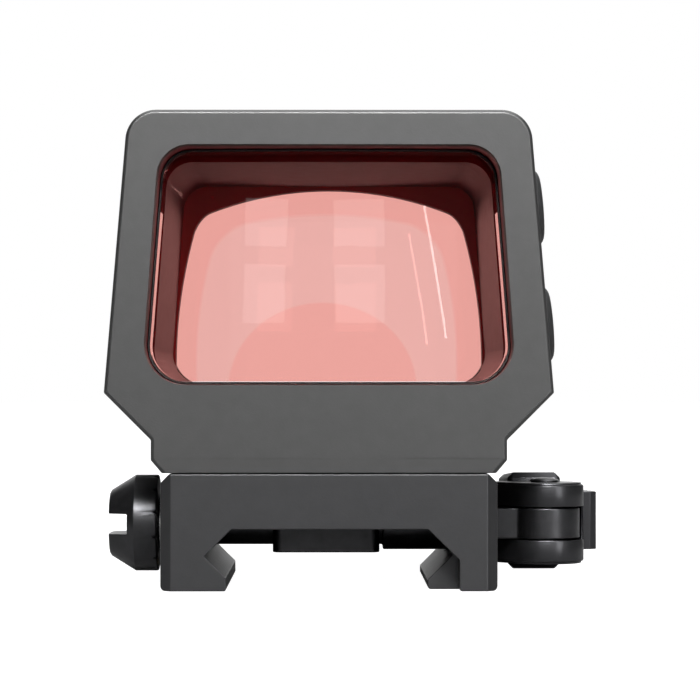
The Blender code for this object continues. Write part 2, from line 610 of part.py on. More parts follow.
def make_mount():
    section = [(SEAT_LEFT_X, 0.0, 0.0), (SEAT_RIGHT_X, 0.0, 0.0), (10.88, -2.54, 0.0), (10.88, MOUNT_FLOOR_Z, 0.25),
               (MOUNT_HALF_W, MOUNT_FLOOR_Z, 0.4), (MOUNT_HALF_W, MOUNT_ROOF_Z - MOUNT_ROOF_CHAMFER, 0.0),
               (MOUNT_HALF_W - MOUNT_ROOF_CHAMFER, MOUNT_ROOF_Z, 0.0),
               (MOUNT_ROOF_CHAMFER - MOUNT_HALF_W, MOUNT_ROOF_Z, 0.0),
               (-MOUNT_HALF_W, MOUNT_ROOF_Z - MOUNT_ROOF_CHAMFER, 0.0), (-MOUNT_HALF_W, MOUNT_FLOOR_Z, 0.4),
               (-8.58, MOUNT_FLOOR_Z, 0.2),
               (-8.6, -4.03, 0.2), (-10.4, -2.25, 0.0)]
    base = add_node("mount_base", prism(rounded(section, 3), "Y", FRONT_Y, MOUNT_REAR_Y), "anodised")
    for side in (-1.0, 1.0):
        for level, inward in ((FRONT_Y, 1.0), (MOUNT_REAR_Y, -1.0)):
            corner = [(side * (MOUNT_HALF_W - MOUNT_FRONT_CHAMFER), level - inward),
                      (side * (MOUNT_HALF_W - MOUNT_FRONT_CHAMFER), level),
                      (side * MOUNT_HALF_W, level + inward * MOUNT_FRONT_CHAMFER),
                      (side * (MOUNT_HALF_W + 1.0), level + inward * MOUNT_FRONT_CHAMFER),
                      (side * (MOUNT_HALF_W + 1.0), level - inward)]
            combine(base, prism([Vector(point) for point in corner], "Z", -10.0, 10.0))
    combine(base, block((-10.9, FRONT_Y + JAW_LENGTH, -10.0), (0.0, 30.0, -2.25)))
    combine(base, block((8.2, -23.6, -10.0), (20.0, -2.4, 3.95)))
    combine(base, stepped_bore((0.0, BOLT_Y, 0.0), X_AXIS, (-20.0, 0.0, BOLT_R + 0.2),
                               (0.0, 20.0, BOLT_SHOULDER_R + 0.2)))
    combine(base, prism(box_outline(-5.0, 4.5, BOLT_Y - 2.7, BOLT_Y + 2.7, 0.85), "Z", -5.0, 3.4))
    combine(base, rod((-11.0, BOLT_Y, -3.3), X_AXIS, -5.0, 0.0, 0.6, SMALL_STEPS))
    for y in JAW_SPRINGS_Y:
        combine(base, rod((0.0, y, JAW_SPRING_Z), X_AXIS, 5.2, 9.0, 1.15, SMALL_STEPS))
    for index, (x, y) in enumerate(MOUNT_SCREWS, 1):
        combine(base, stepped_bore((x, y, 0.0), Z_AXIS, (-5.0, 2.0, 2.1), (2.0, 10.0, 1.3)))
        socket_screw("mount_screw_%d" % index, (x, y, 0.15), -Z_AXIS, 1.9, 1.6, 1.0, 3.7 if y < 0.0 else 4.3)

    lug = add_node("recoil_lug", prism(box_outline(-4.9, 4.4, BOLT_Y - 2.6, BOLT_Y + 2.6, 0.8), "Z", -2.5, 3.3),
                   "steel")
    combine(lug, rod((0.0, BOLT_Y, 0.0), X_AXIS, -20.0, 20.0, BOLT_R + 0.15))


def make_jaw():
    outline = rounded([(13.9, 3.75, 0.4), (8.7, 3.75, 0.0), (8.7, -0.45, 0.0), (10.45, -2.2, 0.0),
                       (8.3, -4.35, 0.2), (8.3, MOUNT_FLOOR_Z, 0.3), (13.9, MOUNT_FLOOR_Z, 0.4)], 3)
    jaw = add_node("movable_jaw", prism(outline, "Y", -23.3, -2.7), "anodised")
    combine(jaw, rod((0.0, BOLT_Y, 0.0), X_AXIS, 0.0, 20.0, BOLT_SHOULDER_R + 0.2))
    for index, y in enumerate(JAW_SPRINGS_Y, 1):
        combine(jaw, rod((0.0, y, JAW_SPRING_Z), X_AXIS, 5.0, 12.2, 1.15, SMALL_STEPS))
        add_node("jaw_spring_%d" % index, coil((0.0, y, JAW_SPRING_Z), X_AXIS, 5.25, 12.1, 0.85, 0.16, 5), "spring")


def make_bolt():
    centre = (0.0, BOLT_Y, 0.0)
    bolt = add_node("cross_bolt", turned([(-16.7, 0.0), (-16.7, BOLT_R - 0.3), (-16.4, BOLT_R), (4.7, BOLT_R),
                                          (4.7, BOLT_SHOULDER_R), (14.0, BOLT_SHOULDER_R), (14.0, 0.0)],
                                         centre, X_AXIS), "steel")
    neck_deg = math.degrees(math.asin(EYE_SHANK_HALF_W / EYE_R))
    eye = ([Vector((13.0, BOLT_Y + EYE_SHANK_HALF_W)), Vector((13.0, BOLT_Y - EYE_SHANK_HALF_W))]
           + arc(PIN_X, BOLT_Y, EYE_R, neck_deg - 180.0, 180.0 - neck_deg, 26))
    combine(bolt, prism(eye, "Z", -1.35, 1.35), "UNION")
    for low, high in ((-6.0, -1.35), (1.35, 6.0)):
        combine(bolt, block((13.6, BOLT_Y - 4.0, low), (25.0, BOLT_Y + 4.0, high)))
    combine(bolt, rod((PIN_X, BOLT_Y, 0.0), Z_AXIS, -6.0, 6.0, PIN_R + 0.1, SMALL_STEPS))

    nut = add_node("tension_nut", turned([(NUT_FACE_X, 0.0), (NUT_FACE_X, NUT_R - 0.1), (NUT_FACE_X - 0.1, NUT_R),
                                          (-16.9, NUT_R), (-19.0, 2.9), (-19.15, 2.65), (-19.23, 1.6), (-19.25, 0.0)],
                                         centre, X_AXIS), "steel", centre)
    combine(nut, rod(centre, X_AXIS, -17.0, -10.0, BOLT_R + 0.15))
    combine(nut, block((-25.0, BOLT_Y - 10.0, -0.875), (-17.5, BOLT_Y + 10.0, 0.875)))
    for index in range(NUT_NOTCHES):
        turn = math.tau * (index + 0.5) / NUT_NOTCHES
        notch = prism([Vector((0.2, 0.0)), Vector((-0.2, 0.0)), Vector((0.0, -0.42))], "Y", NUT_R - 1.2, NUT_R + 1.0)
        place = Matrix.Translation((NUT_FACE_X + 0.02, BOLT_Y, 0.0)) @ Matrix.Rotation(turn, 4, "X") @ \
            Matrix.Rotation(math.radians(90.0), 4, "Y")
        bmesh.ops.transform(notch, matrix=place, verts=notch.verts)
        combine(nut, notch)
    add_node("nut_washer", washer(centre, X_AXIS, -14.8, -14.18, BOLT_R + 0.15, 2.6), "spring")
    add_node("nut_detent", turned([(-14.8, 0.0), (-14.72, 0.25), (-14.5, 0.45), (-11.1, 0.45), (-11.1, 0.0)],
                                  (0.0, BOLT_Y, -3.3), X_AXIS, SMALL_STEPS), "brass")


# ---------------------------------------------------------------- lever

def cam_tangent_deg():
    """Direction of the flat that joins the knuckle's circle to the cam nose in front of the pin."""
    reach = Vector((CAM_NOSE_X - PIN_X, CAM_NOSE_Y - BOLT_Y))
    lean = math.acos((KNUCKLE_R - CAM_NOSE_R) / reach.length)
    return math.degrees(math.atan2(reach.y, reach.x) + lean)


def make_lever():
    tangent_deg = cam_tangent_deg()
    plan = (arc(CAM_NOSE_X, CAM_NOSE_Y, CAM_NOSE_R, 120.0, tangent_deg, 8)
            + arc(PIN_X, BOLT_Y, KNUCKLE_R, tangent_deg, 270.0, 10)
            + arc(PIN_X + KNUCKLE_OVAL, BOLT_Y, KNUCKLE_R, 270.0, 360.0 + 62.0, 16)
            + [Vector((ARM_OUTER_X, BOLT_Y + 3.6)), Vector((ARM_OUTER_X, BOLT_Y + 5.0)),
               Vector((ARM_INNER_X, BOLT_Y + 5.0)), Vector((ARM_INNER_X, CAM_NOSE_Y + 1.7))])
    lever = add_node("cam_lever", prism(plan, "Z", -EAR_OUTER_Z, EAR_OUTER_Z), "anodised", (PIN_X, BOLT_Y, 0.0))
    bend = 1.6
    arm_plan = rounded([(ARM_INNER_X, ARM_FRONT_Y, 0.5), (ARM_OUTER_X, ARM_FRONT_Y, 0.5),
                        (ARM_OUTER_X, ARM_REAR_Y - 7.0, 3.0), (ARM_OUTER_X + bend, ARM_REAR_Y, 0.9),
                        (ARM_INNER_X + bend + 0.8, ARM_REAR_Y, 0.9), (ARM_INNER_X, ARM_REAR_Y - 7.0, 3.0)], 4)
    arm = prism(arm_plan, "Z", -ARM_HALF_H, ARM_HALF_H)
    bevel_plane(arm, 2, ARM_HALF_H, 0.6)
    bevel_plane(arm, 2, -ARM_HALF_H, 0.6)
    for vertex in arm.verts:
        vertex.co.z *= 1.0 - ARM_TAPER * (vertex.co.y - ARM_FRONT_Y) / (ARM_REAR_Y - ARM_FRONT_Y)
    combine(lever, arm, "UNION")
    combine(lever, rod((PIN_X, BOLT_Y, 0.0), Z_AXIS, -EAR_INNER_Z, EAR_INNER_Z, EYE_R + 0.2))
    combine(lever, block((10.0, BOLT_Y - 6.0, -EAR_INNER_Z), (PIN_X, BOLT_Y + 2.7, EAR_INNER_Z)))
    combine(lever, block((PIN_X - 2.6, BOLT_Y - 6.0, -EAR_INNER_Z), (25.0, BOLT_Y + 0.4, EAR_INNER_Z)))
    combine(lever, rod((PIN_X, BOLT_Y, 0.0), Z_AXIS, -8.0, 8.0, PIN_R + 0.08, SMALL_STEPS))
    combine(lever, block((ARM_OUTER_X - 1.0, BOLT_Y + 4.4, -2.0), (30.0, BOLT_Y + 15.0, 2.0)))

    add_node("lever_pin", turned([(-EAR_OUTER_Z + 0.1, 0.0), (-EAR_OUTER_Z + 0.1, PIN_R), (EAR_OUTER_Z + 0.06, PIN_R),
                                  (EAR_OUTER_Z + 0.06, 1.36), (EAR_OUTER_Z + 0.25, 1.2),
                                  (EAR_OUTER_Z + 0.38, 0.75), (EAR_OUTER_Z + 0.42, 0.0)],
                                 (PIN_X, BOLT_Y, 0.0), Z_AXIS, 28), "steel", (PIN_X, BOLT_Y, 0.0))
    make_lever_lock()


def make_lever_lock():
    """Ribbed thumb catch in the arm's outer groove, with its return spring behind it."""
    front, rear = BOLT_Y + 3.5, BOLT_Y + 10.2
    hump = [Vector((ARM_OUTER_X + 0.1, front + 0.6)), Vector((ARM_OUTER_X + 0.1, rear)),
            Vector((22.0, rear))]
    ribs = 6
    for index in range(ribs):
        share = index / (ribs - 1)
        centre_y = rear - 1.0 - share * (rear - front - 1.8)
        centre_x = 23.4 - 1.3 * (1.0 - share) ** 2
        hump += arc(centre_x, centre_y, 0.45, 70.0, -70.0, 4)
    hump += [Vector((23.3, front + 0.1)), Vector((21.4, front))]
    lock = add_node("lever_lock", prism(hump, "Z", -2.57, 2.57), "anodised")
    combine(lock, block((ARM_OUTER_X - 0.85, front + 1.4, -1.8), (ARM_OUTER_X + 1.0, rear, 1.8)), "UNION")
    add_node("lock_spring", coil((ARM_OUTER_X - 0.1, 0.0, 0.0), Y_AXIS, rear + 0.15, rear + 4.4, 0.55, 0.14, 4),
             "spring")


def main():
    clear_scene()
    make_housing()
    make_glasses()
    make_buttons()
    make_drawer()
    make_adjusters()
    make_emitter()
    make_mount()
    make_jaw()
    make_bolt()
    make_lever()


main()
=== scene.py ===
"""Looks of an enclosed red dot sight on a quick-release rail clamp.

Shapes are worked out in millimetres in the part's own frame, +X on the lever's side, +Y from the front glass
to the shooter and +Z up, and finish_piece turns them into metres.
"""

import json
import math

import bmesh
import bpy
from mathutils import Matrix, Vector


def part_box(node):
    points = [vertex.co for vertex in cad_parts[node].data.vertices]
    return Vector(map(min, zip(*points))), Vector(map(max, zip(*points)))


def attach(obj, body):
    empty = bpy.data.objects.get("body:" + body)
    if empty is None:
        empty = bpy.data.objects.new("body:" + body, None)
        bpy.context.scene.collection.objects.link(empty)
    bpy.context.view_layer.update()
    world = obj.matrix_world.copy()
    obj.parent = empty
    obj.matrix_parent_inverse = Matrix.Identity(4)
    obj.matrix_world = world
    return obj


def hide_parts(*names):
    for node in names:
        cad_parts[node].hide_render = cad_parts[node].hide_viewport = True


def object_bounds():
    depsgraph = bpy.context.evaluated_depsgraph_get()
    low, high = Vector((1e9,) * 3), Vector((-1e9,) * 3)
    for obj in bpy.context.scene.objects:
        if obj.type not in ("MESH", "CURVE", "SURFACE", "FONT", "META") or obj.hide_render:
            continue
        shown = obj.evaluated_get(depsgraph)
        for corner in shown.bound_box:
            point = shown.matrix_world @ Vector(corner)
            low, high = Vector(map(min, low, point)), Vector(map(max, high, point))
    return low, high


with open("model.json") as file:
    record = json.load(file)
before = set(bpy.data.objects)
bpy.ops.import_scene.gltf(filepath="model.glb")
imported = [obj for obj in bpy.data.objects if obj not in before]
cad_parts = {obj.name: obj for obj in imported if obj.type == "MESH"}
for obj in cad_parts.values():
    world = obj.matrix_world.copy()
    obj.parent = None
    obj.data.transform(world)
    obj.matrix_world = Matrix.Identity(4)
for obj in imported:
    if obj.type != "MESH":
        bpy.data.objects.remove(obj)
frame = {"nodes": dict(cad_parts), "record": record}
cad_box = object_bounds()

MM = 0.001
ROUND_STEPS = 72
SMALL_STEPS = 40
CORNER_STEPS = 14


def span(node):
    """Lowest and highest corner of a part of the frame, in millimetres."""
    low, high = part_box(node)
    return low / MM, high / MM


housing_low, housing_high = span("housing")
bezel_high = span("rear_bezel")[1]
mount_low, mount_high = span("mount_base")
jaw_low, jaw_high = span("movable_jaw")
lever_high = span("cam_lever")[1]
pin_low, pin_high = span("lever_pin")
nut_low, nut_high = span("tension_nut")
bolt_low = span("cross_bolt")[0]
drawer_low, drawer_high = span("battery_drawer")

# Housing: hood, lower body and rear deck
FRONT_Y = housing_low.y
HOOD_REAR_Y = bezel_high.y
BODY_REAR_Y = housing_high.y
BODY_FLOOR_Z = housing_low.z
ROOF_Z = housing_high.z
SHOULDER_HALF_W = housing_high.x
DECK_Z = 10.8
ROOF_CORNER_R = 2.6
ROOF_HALF_W = 16.81
SHOULDER_Z = 11.39
LOWER_HALF_W = 14.87
LOWER_TOP_Z = 7.46
FLOOR_HALF_W = 13.95
FLOOR_CHAMFER_Z = 5.77
RIM_CHAMFER = 0.42
WALL_TILT = math.atan2(SHOULDER_HALF_W - ROOF_HALF_W, ROOF_Z - SHOULDER_Z)

# Front opening, tunnel, field stop and rear opening
OPENING_FLOOR_Z = 12.08
OPENING_ROOF_Z = 32.13
OPENING_FLOOR_HALF_W = 15.67
OPENING_ROOF_HALF_W = 14.21
OPENING_MIDDLE_Z = (OPENING_FLOOR_Z + OPENING_ROOF_Z) / 2.0
OPENING_FLOOR_R = 3.4
OPENING_ROOF_R = 2.75
LENS_SEAT_INSETS = (0.15, 0.0, 0.15)
LENS_INSETS = (0.42, 0.26, 0.42)
TUNNEL_INSETS = (0.47, 0.05, 0.94)
LENS_SEAT_Y = -18.8
LENS_FRONT_R = 85.0
LENS_BACK_R = 70.0
LENS_APEX_Z = 12.6
LENS_APEX_Y = -25.8
LENS_CENTRE_T = 3.0
STOP_Y = 11.3
STOP_FLOOR_Z = 12.2
STOP_ROOF_Z = 30.85
STOP_HALF_W = 14.75
STOP_WIDEST_Z = 14.0
STOP_SIDE_R = 48.0
STOP_ROOF_R = 31.6
REAR_POCKET_Y = 13.3
BEZEL_Y = 15.5
BEZEL_OPENING_INSETS = (0.2, 0.0, 0.2)
REAR_POCKET_INSET = -0.7
BEZEL_SCREWS = ((-14.45, 32.65), (14.45, 32.65), (-16.35, 13.0), (16.35, 13.0))

# Painted reflection on the domed glass: a paler patch painted as a reflection, and the disc inside it where
# the painted reflection is left out
PAINTED_REFLECTION_ROOF_Z = 26.4
PAINTED_REFLECTION_X = -0.2
PAINTED_REFLECTION_HALF_W = 10.95
PAINTED_REFLECTION_SIDE_R = 34.0
PAINTED_REFLECTION_CORNER_R = 2.0
UNREFLECTED_DISC_X = -0.5
UNREFLECTED_DISC_Z = 11.7
UNREFLECTED_DISC_R = 7.25
UNREFLECTED_DISC_STRETCH = 1.09

# Clamp and lever
MOUNT_REAR_Y = mount_high.y
MOUNT_ROOF_Z = mount_high.z
MOUNT_FLOOR_Z = mount_low.z
MOUNT_HALF_W = mount_high.x
MOUNT_FRONT_CHAMFER = 0.86
MOUNT_ROOF_CHAMFER = 0.75
SEAT_LEFT_X = -8.15
SEAT_RIGHT_X = 8.26
JAW_LENGTH = 25.0
JAW_OUTER_X = 13.9
JAW_SPRINGS_Y = (-19.5, -6.5)
JAW_SPRING_Z = 1.9
MOUNT_SCREWS = ((-5.5, -22.0), (5.5, -22.0), (-5.5, 3.2), (5.5, 3.2))
BOLT_Y = (nut_low.y + nut_high.y) / 2.0
BOLT_R = 1.9
BOLT_SHOULDER_R = 2.35
PIN_X = (pin_low.x + pin_high.x) / 2.0
PIN_R = 1.15
NUT_R = 4.2
NUT_FACE_X = -14.88
NUT_NOTCHES = 12
NUT_SLOT_HALF_W = 0.875
NUT_SLOT_FLOOR_X = -17.5
EYE_R = 3.1
EYE_SHANK_HALF_W = 1.95
EYE_HALF_T = 1.35
EAR_INNER_Z = 1.45
EAR_OUTER_Z = 3.53
KNUCKLE_R = 3.2
KNUCKLE_OVAL = 0.25
CAM_NOSE_X = 15.55
CAM_NOSE_Y = -11.5
CAM_NOSE_R = 1.5
ARM_INNER_X = 15.9
ARM_OUTER_X = 20.6
ARM_FRONT_Y = BOLT_Y + 3.4
ARM_TAPER = 0.2
ARM_BEND = 1.6
ARM_BEND_L = 7.0
ARM_REAR_Y = lever_high.y
ARM_HALF_H = lever_high.z

# Electronics, controls and adjusters
BUTTON_Y = -11.0
BUTTON_Z = {"button_plus": 27.7, "button_minus": 17.35}
BUTTON_R = 3.55
BUTTON_PROUD = 1.4
BUTTON_WELL_DEPTH = 2.6
CELL_Y = -11.5
CELL_Z = (drawer_low.z + drawer_high.z) / 2.0
CELL_R = 10.0
DRAWER_HALF_H = 1.65
DRAWER_SCREW_Y = 2.0
BAY_HALF_W = 10.0
BAY_FRONT_Y = 6.5
BAY_REAR_Y = 23.5
BAY_ROOF_Z = 9.0
COVER_LIP = 1.9
COVER_SCREWS = ((-8.0, BAY_REAR_Y + 1.0), (8.0, BAY_REAR_Y + 1.0))
WINDAGE_Y = 14.0
WINDAGE_Z = 8.3
WINDAGE_R = 3.1
ELEVATION_Y = 21.9
ELEVATION_R = 3.0

# Light: power of a window pane in W/m2, then the narrow strip whose streak crosses the glass
PANE_POWER = 5.0
STRIP_AZIMUTH = 15.4
STRIP_ELEVATION = 14.0
STRIP_LENGTH = 0.18
STRIP_LEAN = 7.0

X_AXIS = Vector((1.0, 0.0, 0.0))
Y_AXIS = Vector((0.0, 1.0, 0.0))
Z_AXIS = Vector((0.0, 0.0, 1.0))


# ---------------------------------------------------------------- outlines and solids

def rounded(corners, steps=CORNER_STEPS):
    """Outline through corners (u, v, radius), with each radius as an arc between its two edges."""
    outline = []
    for index, (u, v, radius) in enumerate(corners):
        here = Vector((u, v))
        if radius <= 0.0:
            outline.append(here)
            continue
        back = (Vector(corners[index - 1][:2]) - here).normalized()
        ahead = (Vector(corners[(index + 1) % len(corners)][:2]) - here).normalized()
        half_angle = back.angle(ahead) / 2.0
        centre = here + (back + ahead).normalized() * (radius / math.sin(half_angle))
        reach = radius / math.tan(half_angle)
        first = here + back * reach - centre
        sweep = first.angle_signed(here + ahead * reach - centre)
        for step in range(steps + 1):
            turn = -sweep * step / steps
            outline.append(centre + Matrix.Rotation(turn, 2) @ first)
    return outline


def box_outline(low_u, high_u, low_v, high_v, radius=0.0):
    return rounded([(low_u, low_v, radius), (high_u, low_v, radius),
                    (high_u, high_v, radius), (low_u, high_v, radius)])


def arc(centre_u, centre_v, radius, first_deg, last_deg, steps):
    turns = [math.radians(first_deg + (last_deg - first_deg) * step / steps) for step in range(steps + 1)]
    centre = Vector((centre_u, centre_v))
    return [centre + radius * Vector((math.cos(turn), math.sin(turn))) for turn in turns]


def mirrored(right_side):
    """Close a right-hand chain of corners, listed floor to roof, with its mirror image."""
    return right_side + [(-u, v, radius) for u, v, radius in reversed(right_side)]


def lift(point, axis, along):
    """A point of an outline across an axis: X takes (y, z), Y takes (x, z) and Z takes (x, y)."""
    if axis == "X":
        return (along, point[0], point[1])
    if axis == "Y":
        return (point[0], along, point[1])
    return (point[0], point[1], along)


def prism(outline, axis, low, high):
    """Solid of an outline extruded along an axis."""
    shape = bmesh.new()
    face = shape.faces.new([shape.verts.new(lift(point, axis, low)) for point in outline])
    grown = bmesh.ops.extrude_face_region(shape, geom=[face])
    moved = [item for item in grown["geom"] if isinstance(item, bmesh.types.BMVert)]
    bmesh.ops.translate(shape, vec=Vector(lift((0.0, 0.0), axis, high - low)), verts=moved)
    return shape


def block(low, high):
    return prism(box_outline(low[0], high[0], low[1], high[1]), "Z", low[2], high[2])


def bridge_rows(shape, rows):
    for row, after in zip(rows, rows[1:]):
        for index in range(len(row)):
            following = (index + 1) % len(row)
            shape.faces.new([row[index], row[following], after[following], after[index]])


def loop_ring(loops):
    """Bridge each loop of points to the next, and the last one back to the first."""
    shape = bmesh.new()
    rows = [[shape.verts.new(point) for point in loop] for loop in loops]
    bridge_rows(shape, rows + [rows[0]])
    return shape


def tapered(near_outline, near_y, far_outline, far_y):
    """Solid that tapers along Y from one outline to another with equally many points."""
    shape = bmesh.new()
    rows = [[shape.verts.new(lift(point, "Y", level)) for point in outline]
            for outline, level in ((near_outline, near_y), (far_outline, far_y))]
    bridge_rows(shape, rows)
    shape.faces.new(rows[0])
    shape.faces.new(rows[1])
    return shape


def turned(profile, centre, direction, steps=ROUND_STEPS):
    """Spin a profile of (along, radius) points about direction; a ring's profile ends where it starts."""
    shape = bmesh.new()
    verts = [shape.verts.new((radius, 0.0, along)) for along, radius in profile]
    edges = [shape.edges.new(pair) for pair in zip(verts, verts[1:])]
    bmesh.ops.spin(shape, geom=verts + edges, cent=(0.0, 0.0, 0.0), axis=(0.0, 0.0, 1.0),
                   dvec=(0.0, 0.0, 0.0), angle=math.tau, steps=steps, use_merge=False, use_duplicate=False)
    bmesh.ops.remove_doubles(shape, verts=shape.verts, dist=0.0005)
    return placed(shape, facing(centre, direction))


def facing(centre, direction):
    """Matrix that stands a shape made along +Z at centre, pointing along direction."""
    turn = Z_AXIS.rotation_difference(Vector(direction)).to_matrix().to_4x4()
    return Matrix.Translation(centre) @ turn


def rod(centre, direction, low, high, radius, steps=ROUND_STEPS):
    return turned([(low, 0.0), (low, radius), (high, radius), (high, 0.0)], centre, direction, steps)


def stepped_bore(centre, direction, *stages):
    """Cutter of stacked round stages, each (low, high, radius), along one axis."""
    profile = [(stages[0][0], 0.0)]
    for low, high, radius in stages:
        profile += [(low, radius), (high, radius)]
    return turned(profile + [(stages[-1][1], 0.0)], centre, direction, SMALL_STEPS)


def bevel_plane(shape, axis_index, level, width, segments=1, above=None):
    """Bevel the edges of a mesh that lie in one plane across an axis, or only those above a height."""
    edges = [edge for edge in shape.edges
             if all(abs(vert.co[axis_index] - level) < 1e-3 for vert in edge.verts)
             and (above is None or max(vert.co.z for vert in edge.verts) > above)]
    bmesh.ops.bevel(shape, geom=edges, offset=width, segments=segments, affect="EDGES", clamp_overlap=True)


def placed(shape, matrix):
    """The same mesh, moved by a matrix."""
    bmesh.ops.transform(shape, matrix=matrix, verts=shape.verts)
    return shape


def subdivided(outline, longest=0.8):
    """The same closed outline with its long edges split, so that it can follow a curved face."""
    points = []
    for index, point in enumerate(outline):
        after = outline[(index + 1) % len(outline)]
        parts = max(1, math.ceil((after - point).length / longest))
        points += [point.lerp(after, part / parts) for part in range(parts)]
    return points


# ---------------------------------------------------------------- pieces

def solid(name, shape):
    """An object made from a mesh under construction; pieces stay in millimetres until they are finished."""
    bmesh.ops.recalc_face_normals(shape, faces=shape.faces)
    mesh = bpy.data.meshes.new(name)
    shape.to_mesh(mesh)
    shape.free()
    made = bpy.data.objects.new(name, mesh)
    bpy.context.scene.collection.objects.link(made)
    return made


def carve(target, shape, operation="DIFFERENCE"):
    """Cut target with a shape, join the shape to it, or keep only what they share."""
    tool = solid("tool", shape)
    step = target.modifiers.new(operation.title(), "BOOLEAN")
    step.operation = operation
    step.solver = "EXACT"
    step.object = tool


def drill(target, centre, direction, low, high, radius):
    """Cut a small round bore."""
    carve(target, rod(centre, direction, low, high, radius, SMALL_STEPS))


def settle(target):
    """Apply the modifiers and remove the tools that they used."""
    bpy.context.view_layer.update()
    evaluated = target.evaluated_get(bpy.context.evaluated_depsgraph_get())
    mesh = bpy.data.meshes.new_from_object(evaluated)
    tools = [step.object for step in target.modifiers if step.type == "BOOLEAN"]
    target.modifiers.clear()
    target.data = mesh
    for tool in tools:
        bpy.data.objects.remove(tool, do_unlink=True)


def clean(target):
    """Weld the slivers that the cuts leave, and drop points that lie along straight edges."""
    shape = bmesh.new()
    shape.from_mesh(target.data)
    bmesh.ops.remove_doubles(shape, verts=shape.verts, dist=0.004)
    bmesh.ops.dissolve_degenerate(shape, edges=shape.edges, dist=0.001)
    spare = [vert for vert in shape.verts
             if len(vert.link_edges) == 2 and vert.calc_edge_angle(1.0) < math.radians(0.2)]
    bmesh.ops.dissolve_verts(shape, verts=spare)
    shape.to_mesh(target.data)
    shape.free()


def bevel_step(target, width, segments):
    step = target.modifiers.new("Softened", "BEVEL")
    step.width = width
    step.segments = segments
    step.limit_method = "ANGLE"
    step.angle_limit = math.radians(34.0)
    return step


def soften(target, width, segments):
    """Round the piece's sharp edges; what is carved afterwards keeps its own."""
    settle(target)
    clean(target)
    step = bevel_step(target, width, segments)
    step.use_clamp_overlap = False
    step.miter_outer = "MITER_ARC"
    settle(target)


def finish_piece(target, body, slot, node, edge, segments=2, finish=None):
    """Soften the piece's edges, turn it into metres, and give it its body, slot and finish."""
    settle(target)
    if edge > 0.0:
        soften(target, edge, segments)
    target.data.transform(Matrix.Scale(MM, 4))
    target.data.shade_smooth()
    target.data.set_sharp_from_angle(angle=math.radians(30.0))
    target.data.materials.clear()
    target.data.materials.append(finish or finishes[slot])
    shading = target.modifiers.new("Even shading", "WEIGHTED_NORMAL")
    shading.keep_sharp = True
    shading.weight = 60
    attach(target, body)
    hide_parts(node)


# ---------------------------------------------------------------- finishes

class Finish:
    """A material under construction: a Principled shader and the noise that feeds it."""

    def __init__(self, name, colour, roughness, metallic=0.0):
        self.material = bpy.data.materials.new(name)
        self.material.use_nodes = True
        self.tree = self.material.node_tree
        self.shader = self.tree.nodes["Principled BSDF"]
        self.shader.inputs["Base Color"].default_value = (*colour, 1.0)
        self.shader.inputs["Roughness"].default_value = roughness
        self.shader.inputs["Metallic"].default_value = metallic
        self.colour = colour
        self.roughness = roughness
        self.place = self.tree.nodes.new("ShaderNodeTexCoord").outputs["Object"]

    def node(self, kind, inputs, **settings):
        """Add a node; an input is a value, or the output of another node that feeds it."""
        made = self.tree.nodes.new(kind)
        for name, value in settings.items():
            setattr(made, name, value)
        for name, value in inputs.items():
            if isinstance(value, bpy.types.NodeSocket):
                self.link(value, made.inputs[name])
            else:
                made.inputs[name].default_value = value
        return made

    def link(self, source, target):
        self.tree.links.new(source, target)

    def noise(self, cell_mm, detail=2.0, stretch=(1.0, 1.0, 1.0)):
        """Noise whose patches are about cell_mm across, drawn out along an axis by a small stretch value."""
        place = self.node("ShaderNodeMapping", {"Scale": stretch, "Vector": self.place})
        return self.node("ShaderNodeTexNoise", {"Scale": 1.0 / (cell_mm * MM), "Detail": detail,
                                                "Vector": place.outputs["Vector"]}).outputs["Fac"]

    def spread(self, source, low, high, from_low=0.3, from_high=0.7):
        return self.node("ShaderNodeMapRange", {"Value": source, "From Min": from_low, "From Max": from_high,
                                                "To Min": low, "To Max": high}).outputs["Result"]

    def blend(self, share, low, high):
        """Mix two colours, each a value or an output."""
        made = self.node("ShaderNodeMix", {"Factor": share, "A": low, "B": high}, data_type="RGBA")
        return made.outputs["Result"]

    def vary_colour(self, source, share):
        """Shift the base colour up and down by a share of itself."""
        low = (*(value * (1.0 - share) for value in self.colour), 1.0)
        high = (*(min(1.0, value * (1.0 + share)) for value in self.colour), 1.0)
        self.link(self.blend(self.spread(source, 0.0, 1.0), low, high), self.shader.inputs["Base Color"])

    def vary_roughness(self, source, share):
        low, high = self.roughness * (1.0 - share), self.roughness * (1.0 + share)
        self.link(self.spread(source, low, high), self.shader.inputs["Roughness"])

    def grain(self, source, depth_mm):
        bump = self.node("ShaderNodeBump", {"Strength": 1.0, "Distance": depth_mm * MM, "Height": source})
        self.link(bump.outputs["Normal"], self.shader.inputs["Normal"])


def anodised(name, colour, roughness):
    """Bead-blasted aluminium under a dark hard anodised layer."""
    finish = Finish(name, colour, roughness, 0.85)
    finish.vary_colour(finish.noise(1.1, 3.0), 0.03)
    finish.vary_roughness(finish.noise(0.9, 3.0), 0.05)
    finish.grain(finish.noise(0.16, 2.0), 0.006)
    return finish.material


def machined_steel(name, colour, roughness, axis):
    """Blackened steel with fine tool marks drawn out along one axis."""
    finish = Finish(name, colour, roughness, 1.0)
    stretch = [1.0, 1.0, 1.0]
    stretch[axis] = 9.0
    finish.vary_colour(finish.noise(1.6, 3.0), 0.12)
    finish.vary_roughness(finish.noise(0.35, 3.0), 0.14)
    finish.grain(finish.noise(0.5, 3.0, stretch), 0.006)
    return finish.material


def moulded(name, colour, roughness, cell_mm, depth_mm):
    """Rubber or polymer with a moulded grain."""
    finish = Finish(name, colour, roughness)
    finish.vary_colour(finish.noise(2.2, 3.0), 0.12)
    finish.vary_roughness(finish.noise(0.8, 2.0), 0.1)
    finish.grain(finish.noise(cell_mm, 3.0), depth_mm)
    return finish.material


